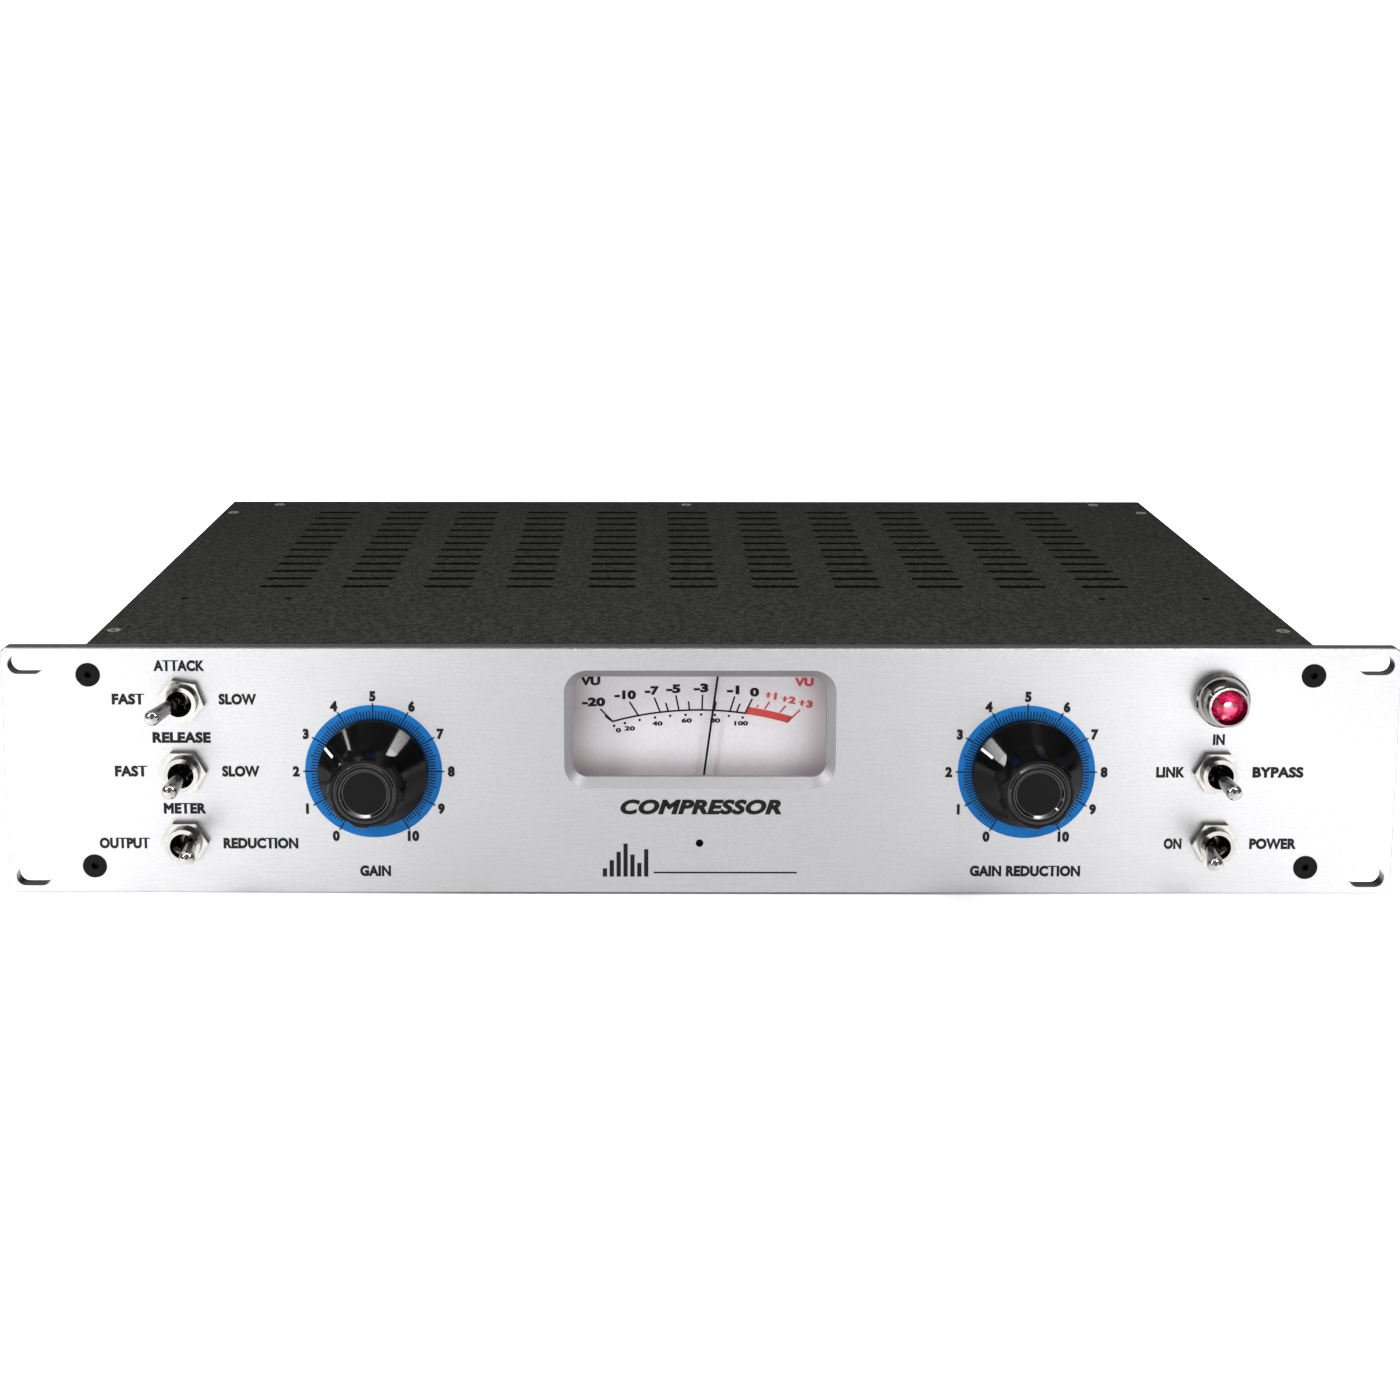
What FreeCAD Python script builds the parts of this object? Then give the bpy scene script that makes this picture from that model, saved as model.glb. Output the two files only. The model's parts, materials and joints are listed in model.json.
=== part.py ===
import FreeCAD, Part

import math
import os
import re
import Sketcher

# Rack compressor: a two-unit rack case with a meter, two dials, five toggles and a lamp.
# Frame: X to the right seen from the front, Y to the back, Z up, millimetres.
# The origin is the centre of the rack slots, on the panel's back face (the rack rail plane).

DIMENSIONS = {
    # Front panel: 3/16 inch plate, two rack units high.
    "panel_width": 482.6,
    "panel_height": 88.1,
    "panel_thick": 4.7625,
    "panel_corner": 2.5,
    "panel_chamfer": 0.4,
    "rack_pitch_x": 465.1,
    "rack_pitch_z": 76.2,
    "rack_slot_length": 12.4,
    "rack_slot_width": 6.8,
    # Case: two side rails, a folded rear panel and two covers.
    "case_width": 431.8,
    "case_depth": 254.0,
    "case_height": 82.0,
    "sheet_thick": 1.5,
    "rear_thick": 2.0,
    "rear_flange": 14.0,
    "rail_width": 9.525,
    "cover_gap": 0.3,
    "vent_pitch_x": 32.35,
    "vent_pitch_y": 12.5,
    "vent_length": 19.0,
    "vent_width": 4.0,
    "vent_first_y": 92.1,
    "spare_hole": 3.0,
    "spare_hole_y": 73.5,
    "spare_hole_inner_x": 156.4,
    "spare_hole_outer_x": 196.3,
    # Screws: flat heads in countersinks, pan heads at the rear.
    "panel_screw_z": 34.4,
    "panel_screw_head": 8.6,
    "panel_screw_shank": 4.1,
    "panel_screw_length": 18.0,
    "cover_screw_head": 5.2,
    "cover_screw_shank": 2.4,
    "cover_screw_length": 7.0,
    "cover_screw_front_y": 28.7,
    "cover_screw_back_y": 229.7,
    "cover_rear_screw_x": 193.0,
    "cover_rear_screw_inset": 6.5,
    "pan_head_dia": 5.2,
    "pan_head_high": 1.8,
    "rear_screw_z": 25.0,
    "thread_gap": 0.1,
    # Meter.
    "meter_z": 15.1,
    "meter_window_width": 88.0,
    "meter_window_height": 36.0,
    "meter_window_corner": 5.0,
    "meter_bevel": 3.0,
    "meter_case_width": 108.0,
    "meter_case_depth": 38.0,
    "meter_case_top": 39.0,
    "meter_case_bottom": -30.0,
    "meter_wall": 2.0,
    "meter_lens": 2.0,
    "meter_plate_y": 7.0,
    "meter_plate_thick": 0.8,
    "meter_pivot_z": -17.5,
    "meter_stud_x": 60.0,
    "meter_stud_z": 20.0,
    "meter_stud_dia": 3.0,
    "needle_length": 49.5,
    "needle_tilt": 7.5,
    "zero_screw_z": -25.8,
    "zero_screw_dia": 2.3,
    # Dials and knobs.
    "dial_x": 113.1,
    "knob_dia": 38.1,
    "knob_grip_dia": 26.3,
    "knob_height": 21.0,
    "knob_gap": 0.6,
    "knob_flutes": 8,
    "flute_radius": 8.0,
    "flute_centre": 19.4,
    "knob_rest": -60.0,
    "pot_dia": 24.0,
    "pot_depth": 12.5,
    "pot_bushing_dia": 9.4,
    "shaft_dia": 6.35,
    "shaft_gap": 0.06,
    "pot_nut_flats": 12.7,
    "pot_nut_thick": 2.4,
    # Toggle switches on a one inch grid.
    "switch_x": 179.0,
    "switch_pitch_z": 25.4,
    "switch_throw": 12.5,
    "switch_twist": 19.0,
    "switch_case_width": 28.0,
    "switch_case_height": 17.5,
    "switch_case_depth": 18.5,
    "switch_case_y": 2.5,
    "switch_bushing_dia": 11.9,
    "switch_bushing_out": 4.8,
    "switch_nut_flats": 14.29,
    "switch_nut_thick": 2.4,
    "lever_pivot_y": -0.3,
    "lever_ball": 3.4,
    "lever_neck": 1.8,
    "lever_bat": 2.3,
    "lever_tip": 2.7,
    "lever_reach": 24.0,
    "lever_tail": 8.0,
    # Pilot lamp.
    "lamp_x": 179.3,
    "lamp_z": 26.4,
    "lamp_dia": 18.6,
    "lamp_out": 10.4,
    "lamp_thread": 12.6,
    "jewel_dia": 12.2,
    # Rear connectors.
    "mains_x": 165.0,
    "fuse_x": 122.0,
    "selector_x": 82.0,
    "jack_x": -70.0,
    "xlr_out_x": -115.0,
    "xlr_in_x": -160.0,
    "xlr_width": 26.0,
    "xlr_height": 31.0,
    "xlr_bore": 19.2,
    "xlr_barrel": 23.6,
    "xlr_contact_ring": 4.0,
    "xlr_screw_x": 9.5,
    "xlr_screw_z": 12.0,
    "latch_width": 6.8,
    "latch_high": 2.6,
    "jack_bore": 6.5,
    "jack_bushing_dia": 9.5,
    "flange_thick": 2.0,
    "flange_hole": 3.0,
    "mains_width": 27.4,
    "mains_high": 20.4,
    "mains_wall": 1.5,
    "mains_screw_x": 20.0,
    "fuse_barrel_dia": 12.8,
    "fuse_bore": 9.6,
    "selector_width": 23.6,
    "selector_high": 13.6,
    "selector_screw_x": 16.0,
    # Inside.
    "board_x": -62.0,
    "board_y": 150.0,
    "board_width": 250.0,
    "board_depth": 150.0,
    "board_thick": 1.6,
    "board_lift": 8.0,
    "toroid_x": 130.0,
    "toroid_y": 140.0,
    "toroid_dia": 100.0,
    "toroid_height": 46.0,
    "tube_dia": 22.0,
    "tube_height": 50.0,
}

ATTACK_NUT_TURN = 10
VENT_COLUMNS = 11
VENT_ROWS = 12
BOTTOM_VENT_ROWS = 4

doc = FreeCAD.newDocument("RackCompressor")
sheet = doc.addObject("Spreadsheet::Sheet", "Dims")
for row, (alias, number) in enumerate(DIMENSIONS.items(), start=1):
    sheet.set(f"A{row}", alias)
    sheet.set(f"B{row}", str(number))
    sheet.setAlias(f"B{row}", alias)
doc.recompute()

sub_parts = []


# ---------------------------------------------------------------- helpers

def formula(text):
    """A formula in cell names, written as an expression on the sheet."""
    words = re.compile(r"\b[a-z][a-z_]+\b")
    return words.sub(lambda word: "Dims." + word[0] if word[0] in DIMENSIONS else word[0], str(text))


def size(text):
    """The value of a formula."""
    return float(sheet.evalExpression(formula(text)))


def bind(thing, **formulas):
    """Bind properties of an object to formulas on the sheet."""
    for name, text in formulas.items():
        thing.setExpression(name, formula(text))
    return thing


def place(thing, x=0, y=0, z=0, turn=0, axis=(0, 1, 0)):
    """Give an object its Placement, bound to the sheet; turn is in degrees about axis."""
    thing.Placement = FreeCAD.Placement(FreeCAD.Vector(), FreeCAD.Rotation(FreeCAD.Vector(*axis), 1))
    for name, text in (("Base.x", x), ("Base.y", y), ("Base.z", z), ("Rotation.Angle", turn)):
        thing.setExpression(".Placement." + name, formula(text))
    return thing


def sub_part(thing, name):
    """Name an object as one of the pieces that are written out."""
    thing.Label = name
    sub_parts.append(thing)
    return thing


def make(kind, name, **formulas):
    """A Part primitive with its sizes bound to the sheet."""
    return bind(doc.addObject("Part::" + kind, name), **formulas)


def fuse(name, *pieces):
    joined = doc.addObject("Part::MultiFuse", name)
    joined.Shapes = list(pieces)
    joined.Refine = True
    return joined


def cut(name, base, *tools):
    """The base with one or more tools taken away."""
    result = doc.addObject("Part::Cut", name)
    result.Base = base
    result.Tool = tools[0] if len(tools) == 1 else fuse(name + "_tools", *tools)
    return result


def group(name, master, places):
    """Separate copies of one master piece, kept in one node."""
    copies = []
    for number, where in enumerate(places):
        link = doc.addObject("App::Link", f"{name}_{number}")
        link.LinkedObject = master
        copies.append(place(link, **where))
    compound = doc.addObject("Part::Compound", name)
    compound.Links = copies
    return compound


def block(name, x, y, z, width, depth, height):
    """A box centred on x and z that starts at y and runs back."""
    box = make("Box", name, Length=width, Width=depth, Height=height)
    return place(box, x=f"({x}) - ({width}) / 2", y=y, z=f"({z}) - ({height}) / 2")


def rod(name, x, y, z, dia, length):
    """A cylinder that starts at y and runs back along Y."""
    cylinder = make("Cylinder", name, Radius=f"({dia}) / 2", Height=length)
    return place(cylinder, x=x, y=y, z=z, turn=-90, axis=(1, 0, 0))


def post(name, x, y, z, dia, length):
    """A cylinder that stands on z."""
    return place(make("Cylinder", name, Radius=f"({dia}) / 2", Height=length), x=x, y=y, z=z)


def hex_nut(name, flats, thick, bore):
    """A hexagon nut along Y, its corners left and right, from y = 0 forwards."""
    prism = make("Prism", name + "_hexagon", Circumradius=f"({flats}) / sqrt(3)", Height=thick)
    place(prism, turn=90, axis=(1, 0, 0))
    return cut(name, prism, rod(name + "_bore", 0, f"-({thick}) - 1", 0, bore, f"({thick}) + 2"))


def new_body(name):
    return doc.addObject("PartDesign::Body", name)


def new_sketch(body, plane, offset=0):
    """A sketch on one of the body's own origin planes, moved along the plane's normal."""
    sketch = body.newObject("Sketcher::SketchObject", body.Name + "_sketch")
    origin = [item for item in body.Origin.OriginFeatures if item.Role == plane]
    sketch.AttachmentSupport = (origin[0], [""])
    sketch.MapMode = "FlatFace"
    sketch.setExpression(".AttachmentOffset.Base.z", formula(offset))
    return sketch


def fix(sketch, kind, *where, value):
    """A constraint whose value is bound to a formula."""
    index = sketch.addConstraint(Sketcher.Constraint(kind, *where, size(value)))
    sketch.setExpression(f"Constraints[{index}]", formula(value))


def fix_point(sketch, element, point, x, y):
    fix(sketch, "DistanceX", element, point, value=x)
    fix(sketch, "DistanceY", element, point, value=y)


def draw_outline(sketch, points):
    """A closed outline of straight lines through points given as formulas."""
    corners = [FreeCAD.Vector(size(x), size(y), 0) for x, y in points]
    lines = [sketch.addGeometry(Part.LineSegment(start, end), False)
             for start, end in zip(corners, corners[1:] + corners[:1])]
    for line, following in zip(lines, lines[1:] + lines[:1]):
        sketch.addConstraint(Sketcher.Constraint("Coincident", line, 2, following, 1))
    for line, (x, y) in zip(lines, points):
        fix_point(sketch, line, 1, x, y)


def draw_circle(sketch, x, y, dia):
    centre = FreeCAD.Vector(size(x), size(y), 0)
    circle = sketch.addGeometry(Part.Circle(centre, FreeCAD.Vector(0, 0, 1), size(dia) / 2), False)
    fix_point(sketch, circle, 3, x, y)
    fix(sketch, "Diameter", circle, value=dia)


def draw_rectangle(sketch, x, y, width, height):
    left, right = f"({x}) - ({width}) / 2", f"({x}) + ({width}) / 2"
    low, high = f"({y}) - ({height}) / 2", f"({y}) + ({height}) / 2"
    draw_outline(sketch, [(left, low), (right, low), (right, high), (left, high)])


def draw_rounded(sketch, x, y, width, height, radius):
    """A rectangle with round corners; with height = 2 radius it is a slot."""
    left, right = f"({x}) - ({width}) / 2", f"({x}) + ({width}) / 2"
    low, high = f"({y}) - ({height}) / 2", f"({y}) + ({height}) / 2"
    round_by = size(radius)
    corners = [
        (size(left) + round_by, size(low) + round_by, 180),
        (size(right) - round_by, size(low) + round_by, 270),
        (size(right) - round_by, size(high) - round_by, 0),
        (size(left) + round_by, size(high) - round_by, 90),
    ]
    arcs = []
    for centre_x, centre_y, start in corners:
        circle = Part.Circle(FreeCAD.Vector(centre_x, centre_y, 0), FreeCAD.Vector(0, 0, 1), round_by)
        arc = Part.ArcOfCircle(circle, math.radians(start), math.radians(start + 90))
        arcs.append(sketch.addGeometry(arc, False))
    is_slot = abs(size(high) - size(low) - 2 * round_by) < 1e-6
    sides = [0, 2] if is_slot else [0, 1, 2, 3]
    lines = {}
    for side in sides:
        start = sketch.getPoint(arcs[side], 2)
        end = sketch.getPoint(arcs[(side + 1) % 4], 1)
        lines[side] = sketch.addGeometry(Part.LineSegment(start, end), False)
        sketch.addConstraint(Sketcher.Constraint("Tangent", arcs[side], 2, lines[side], 1))
        sketch.addConstraint(Sketcher.Constraint("Tangent", lines[side], 2, arcs[(side + 1) % 4], 1))
    for side in (1, 3):
        if is_slot:
            sketch.addConstraint(
                Sketcher.Constraint("Tangent", arcs[side], 2, arcs[(side + 1) % 4], 1))
            sketch.addConstraint(
                Sketcher.Constraint("Coincident", arcs[side], 3, arcs[(side + 1) % 4], 3))
        else:
            sketch.addConstraint(Sketcher.Constraint("Vertical", lines[side]))
            fix(sketch, "DistanceX", lines[side], 1, value=right if side == 1 else left)
    sketch.addConstraint(Sketcher.Constraint("Horizontal", lines[0]))
    sketch.addConstraint(Sketcher.Constraint("Horizontal", lines[2]))
    fix(sketch, "DistanceY", lines[0], 1, value=low)
    if is_slot:
        fix(sketch, "Radius", arcs[0], value=radius)
        fix(sketch, "DistanceX", arcs[0], 3, value=f"({left}) + ({radius})")
        fix(sketch, "DistanceX", arcs[1], 3, value=f"({right}) - ({radius})")
    else:
        fix(sketch, "DistanceY", lines[2], 1, value=high)
        for arc in arcs:
            fix(sketch, "Radius", arc, value=radius)


def feature(body, kind, sketch, reverse=False, **formulas):
    """A sketch-based feature that becomes the body's tip."""
    made = body.newObject("PartDesign::" + kind, f"{body.Name}_{kind}")
    made.Profile = sketch
    made.Reversed = reverse
    bind(made, **formulas)
    sketch.Visibility = False
    return made


def pad(body, sketch, length, reverse=False):
    return feature(body, "Pad", sketch, reverse, Length=length)


def pocket(body, sketch, depth, reverse=False):
    """A pocket that must take material away."""
    doc.recompute()
    before = body.Shape.Volume
    made = feature(body, "Pocket", sketch, reverse, Length=depth)
    doc.recompute()
    if body.Shape.Volume >= before - 1e-6:
        raise ValueError(f"a pocket of {body.Name} cuts nothing")
    return made


def turned(body, points, kind="Revolution"):
    """A profile of (y, radius) points turned about the Y axis."""
    sketch = new_sketch(body, "YZ_Plane")
    draw_outline(sketch, points)
    made = feature(body, kind, sketch)
    made.ReferenceAxis = (sketch, ["H_Axis"])
    made.Angle = 360
    return made


def edges_where(shape, test):
    """The names of the edges whose every end point passes the test."""
    return [f"Edge{number}" for number, edge in enumerate(shape.Edges, start=1)
            if all(test(vertex.Point) for vertex in edge.Vertexes)]


def chamfer(body, test, width):
    """Bevel the edges of the body's tip that pass the test."""
    doc.recompute()
    base = body.Tip
    made = body.newObject("PartDesign::Chamfer", body.Name + "_Chamfer")
    made.Base = (base, edges_where(base.Shape, test))
    bind(made, Size=width)
    return made


SIDES = (-1, 1)
INNER_TOP = "(case_height / 2 - sheet_thick)"
RAIL_X = "(case_width / 2 - rail_width / 2)"
TAP = "cover_screw_shank + 2 * thread_gap"
COVER_REAR_SCREWS_X = ("-cover_rear_screw_x", 0, "cover_rear_screw_x")
COVER_REAR_SCREW_Y = "case_depth - cover_rear_screw_inset"
LATCH_Z = "(xlr_bore / 2 + 2.7)"
# Each toggle's place, its twist about its own axis, and the side its lever rests on.
SWITCHES = {
    "attack": ("-switch_x", "switch_pitch_z", 0, -1),
    "release": ("-switch_x", 0, 0, 0),
    "meter": ("-switch_x", "-switch_pitch_z", "-switch_twist", 1),
    "link": ("switch_x", 0, 0, 0),
    "power": ("switch_x", "-switch_pitch_z", 0, -1),
}


# ---------------------------------------------------------------- case

def make_front_panel():
    """The plate with its slots, control holes and bevelled meter window, and four rear studs."""
    body = new_body("front_panel")
    plate = new_sketch(body, "XZ_Plane")
    draw_rounded(plate, 0, 0, "panel_width", "panel_height", "panel_corner")
    pad(body, plate, "panel_thick")

    window = new_sketch(body, "XZ_Plane")
    draw_rounded(window, 0, "meter_z", "meter_window_width", "meter_window_height", "meter_window_corner")
    pocket(body, window, "panel_thick", reverse=True)

    def on_front(point):
        return abs(point.y + size("panel_thick")) < 1e-4

    def by_window(point):
        return abs(point.x) < size("meter_window_width / 2") + 0.1

    chamfer(body, lambda point: on_front(point) and by_window(point), "meter_bevel")
    chamfer(body, lambda point: on_front(point) and abs(point.x) > size("case_width / 2"), "panel_chamfer")

    holes = new_sketch(body, "XZ_Plane")
    for side in SIDES:
        for level in SIDES:
            draw_rounded(holes, f"{side} * rack_pitch_x / 2", f"{level} * rack_pitch_z / 2",
                         "rack_slot_length", "rack_slot_width", "rack_slot_width / 2")
            draw_circle(holes, f"{side} * {RAIL_X}", f"{level} * panel_screw_z",
                        "panel_screw_shank + 2 * thread_gap")
        draw_circle(holes, f"{side} * dial_x", 0, "pot_bushing_dia + 2 * thread_gap")
    for x, z, _, _ in SWITCHES.values():
        draw_circle(holes, x, z, "switch_bushing_dia + 2 * thread_gap")
    draw_circle(holes, "lamp_x", "lamp_z", "lamp_thread + 2 * thread_gap")
    draw_circle(holes, 0, "zero_screw_z", "zero_screw_dia + 0.4")
    pocket(body, holes, "panel_thick", reverse=True)

    def at_screw(point):
        across = abs(abs(point.x) - size(RAIL_X))
        return on_front(point) and math.hypot(across, abs(point.z) - size("panel_screw_z")) < 3

    chamfer(body, at_screw, "(panel_screw_head - panel_screw_shank) / 2 - thread_gap")

    studs = new_sketch(body, "XZ_Plane")
    for side in SIDES:
        for level in SIDES:
            draw_circle(studs, f"{side} * meter_stud_x", f"{level} * meter_stud_z", "meter_stud_dia")
    pad(body, studs, 8, reverse=True)
    sub_part(body, "front_panel")


def make_side_rail(side, name):
    """A solid bar with tapped holes for every screw."""
    body = new_body(name)
    bar = new_sketch(body, "XZ_Plane")
    draw_rectangle(bar, f"{side} * {RAIL_X}", 0, "rail_width", f"2 * {INNER_TOP}")
    pad(body, bar, "case_depth - rear_thick", reverse=True)
    front = new_sketch(body, "XZ_Plane")
    back = new_sketch(body, "XZ_Plane", "rear_thick - case_depth")
    for level in SIDES:
        draw_circle(front, f"{side} * {RAIL_X}", f"{level} * panel_screw_z",
                    "panel_screw_shank + 2 * thread_gap")
        draw_circle(back, f"{side} * {RAIL_X}", f"{level} * rear_screw_z", TAP)
    pocket(body, front, "panel_screw_length - panel_thick + 1")
    pocket(body, back, "cover_screw_length + 1", reverse=True)
    for level in SIDES:
        face = new_sketch(body, "XY_Plane", f"{level} * {INNER_TOP}")
        for y in ("cover_screw_front_y", "cover_screw_back_y"):
            draw_circle(face, f"{side} * {RAIL_X}", y, TAP)
        pocket(body, face, "cover_screw_length", reverse=level < 0)
    sub_part(body, name)


def cover_screw_places():
    """Where the seven screws of a cover go."""
    beside = [(f"{side} * {RAIL_X}", y) for side in SIDES
              for y in ("cover_screw_front_y", "cover_screw_back_y")]
    return beside + [(x, COVER_REAR_SCREW_Y) for x in COVER_REAR_SCREWS_X]


def make_cover(level, name, vent_rows):
    """A flat sheet with countersunk screw holes, four spare holes and rows of vents."""
    body = new_body(name)
    low = INNER_TOP if level > 0 else "-case_height / 2"
    sheet_outline = new_sketch(body, "XY_Plane", low)
    draw_rectangle(sheet_outline, 0, "(case_depth + cover_gap) / 2", "case_width", "case_depth - cover_gap")
    pad(body, sheet_outline, "sheet_thick")
    holes = new_sketch(body, "XY_Plane", low)
    for x, y in cover_screw_places():
        draw_circle(holes, x, y, TAP)
    for side in SIDES:
        for x in ("spare_hole_inner_x", "spare_hole_outer_x"):
            draw_circle(holes, f"{side} * {x}", "spare_hole_y", "spare_hole")
    pocket(body, holes, "sheet_thick", reverse=True)
    places = [(size(x), size(y)) for x, y in cover_screw_places()]

    def at_screw(point):
        near = min(math.hypot(point.x - x, point.y - y) for x, y in places)
        return abs(abs(point.z) - size("case_height / 2")) < 1e-4 and near < 2

    chamfer(body, at_screw, "(cover_screw_head - cover_screw_shank) / 2 - thread_gap")

    vent = new_sketch(body, "XY_Plane", low)
    draw_rounded(vent, f"-vent_pitch_x * {(VENT_COLUMNS - 1) / 2}", "vent_first_y",
                 "vent_length", "vent_width", "vent_width / 2")
    slot = pocket(body, vent, "sheet_thick", reverse=True)
    pattern = body.newObject("PartDesign::MultiTransform", name + "_vents")
    columns = body.newObject("PartDesign::LinearPattern", name + "_columns")
    columns.Direction = (vent, ["H_Axis"])
    columns.Occurrences = VENT_COLUMNS
    bind(columns, Length=f"vent_pitch_x * {VENT_COLUMNS - 1}")
    rows = body.newObject("PartDesign::LinearPattern", name + "_rows")
    rows.Direction = (vent, ["V_Axis"])
    rows.Occurrences = vent_rows
    bind(rows, Length=f"vent_pitch_y * {vent_rows - 1}")
    pattern.Originals = [slot]
    pattern.Transformations = [columns, rows]
    body.Tip = pattern
    sub_part(body, name)


def make_rear_panel():
    """A folded sheet with cut-outs for the connectors."""
    body = new_body("rear_panel")
    back = new_sketch(body, "XZ_Plane", "-case_depth")
    draw_rectangle(back, 0, 0, "case_width", f"2 * {INNER_TOP}")
    pad(body, back, "rear_thick")
    inside = "(case_width - 2 * rail_width - 1)"
    for level in SIDES:
        flange = new_sketch(body, "XZ_Plane", "rear_thick - case_depth")
        draw_rectangle(flange, 0, f"{level} * ({INNER_TOP} - sheet_thick / 2)", inside, "sheet_thick")
        pad(body, flange, "rear_flange")
    doc.recompute()
    holes = new_sketch(body, "XZ_Plane", "-case_depth")
    draw_rectangle(holes, "mains_x", 0, "mains_width + 0.6", "mains_high + 0.6")
    draw_circle(holes, "fuse_x", 0, "fuse_barrel_dia + 0.2")
    draw_rectangle(holes, "selector_x", 0, "selector_width + 0.4", "selector_high + 0.4")
    draw_circle(holes, "jack_x", 0, "jack_bushing_dia + 0.2")
    draw_circle(holes, "xlr_out_x", 0, "xlr_barrel + 0.4")
    draw_circle(holes, "xlr_in_x", 0, "xlr_barrel + 0.4")
    for x, z in connector_screw_places():
        draw_circle(holes, x, z, "flange_hole")
    for side in SIDES:
        for level in SIDES:
            draw_circle(holes, f"{side} * {RAIL_X}", f"{level} * rear_screw_z", TAP)
    pocket(body, holes, "rear_thick", reverse=True)
    latch_notch = new_sketch(body, "XZ_Plane", "-case_depth")
    draw_rectangle(latch_notch, "xlr_in_x", LATCH_Z, "latch_width + 2.2", "latch_high + 2")
    pocket(body, latch_notch, "rear_thick", reverse=True)
    for level in SIDES:
        taps = new_sketch(body, "XY_Plane", f"{level} * {INNER_TOP}")
        for x in COVER_REAR_SCREWS_X:
            draw_circle(taps, x, COVER_REAR_SCREW_Y, TAP)
        pocket(body, taps, "sheet_thick", reverse=level < 0)
    sub_part(body, "rear_panel")


def flat_head_screw(name, head, shank, length):
    """A flat-head screw along Z, its head flush with z = 0 and its shank below."""
    cone_depth = f"(({head}) - ({shank})) / 2"
    cone = make("Cone", name + "_cone", Radius1=f"({shank}) / 2", Radius2=f"({head}) / 2 - 0.15",
                Height=f"{cone_depth} - 0.15")
    place(cone, z=f"-{cone_depth} + 0.1")
    stem = post(name + "_stem", 0, 0, f"-({length})", shank, f"({length}) - {cone_depth} + 0.12")
    return fuse(name + "_solid", cone, stem)


def cross_recess(name, width, length, depth):
    """A cross for a screwdriver, sunk from z = 0."""
    arms = []
    for number, (along_x, along_y) in enumerate(((length, width), (width, length))):
        arm = make("Box", f"{name}_arm_{number}", Length=along_x, Width=along_y, Height=depth)
        arms.append(place(arm, x=-along_x / 2, y=-along_y / 2, z=0.05 - depth))
    return fuse(name, *arms)


def make_screws():
    """Every screw of the case, as groups of separate solids."""
    panel_solid = flat_head_screw("panel_screw", "panel_screw_head", "panel_screw_shank",
                                  "panel_screw_length")
    hexagon = place(make("Prism", "panel_screw_hexagon", Circumradius=1.35, Height=2), z=-1.9)
    panel_screw = cut("panel_screw", panel_solid, hexagon)
    corners = [{"x": f"{side} * {RAIL_X}", "y": "-panel_thick", "z": f"{level} * panel_screw_z",
                "turn": 90, "axis": (1, 0, 0)} for side in SIDES for level in SIDES]
    sub_part(group("panel_screws", panel_screw, corners), "panel_screws")

    cover_solid = flat_head_screw("cover_screw", "cover_screw_head", "cover_screw_shank",
                                  "cover_screw_length")
    cover_screw = cut("cover_screw", cover_solid, cross_recess("cover_screw_cross", 0.7, 3.2, 1.2))
    for level, name in ((1, "top_cover_screws"), (-1, "bottom_cover_screws")):
        places = [{"x": x, "y": y, "z": f"{level} * case_height / 2", "turn": 0 if level > 0 else 180,
                   "axis": (1, 0, 0)} for x, y in cover_screw_places()]
        sub_part(group(name, cover_screw, places), name)

    head = post("pan_head", 0, 0, 0, "pan_head_dia", "pan_head_high")
    stem = post("pan_stem", 0, 0, "-cover_screw_length", "cover_screw_shank", "cover_screw_length")
    pan_cross = place(cross_recess("pan_cross", 0.7, 3.2, 1.2), z="pan_head_high")
    pan_screw = cut("pan_screw", fuse("pan_solid", head, stem), pan_cross)
    places = [{"x": f"{side} * {RAIL_X}", "y": "case_depth", "z": f"{level} * rear_screw_z",
               "turn": -90, "axis": (1, 0, 0)} for side in SIDES for level in SIDES]
    sub_part(group("rear_panel_screws", pan_screw, places), "rear_panel_screws")
    flange_places = [{"x": x, "y": "case_depth + flange_thick", "z": z, "turn": -90, "axis": (1, 0, 0)}
                     for x, z in connector_screw_places()]
    sub_part(group("connector_screws", pan_screw, flange_places), "connector_screws")


# ---------------------------------------------------------------- meter

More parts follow.
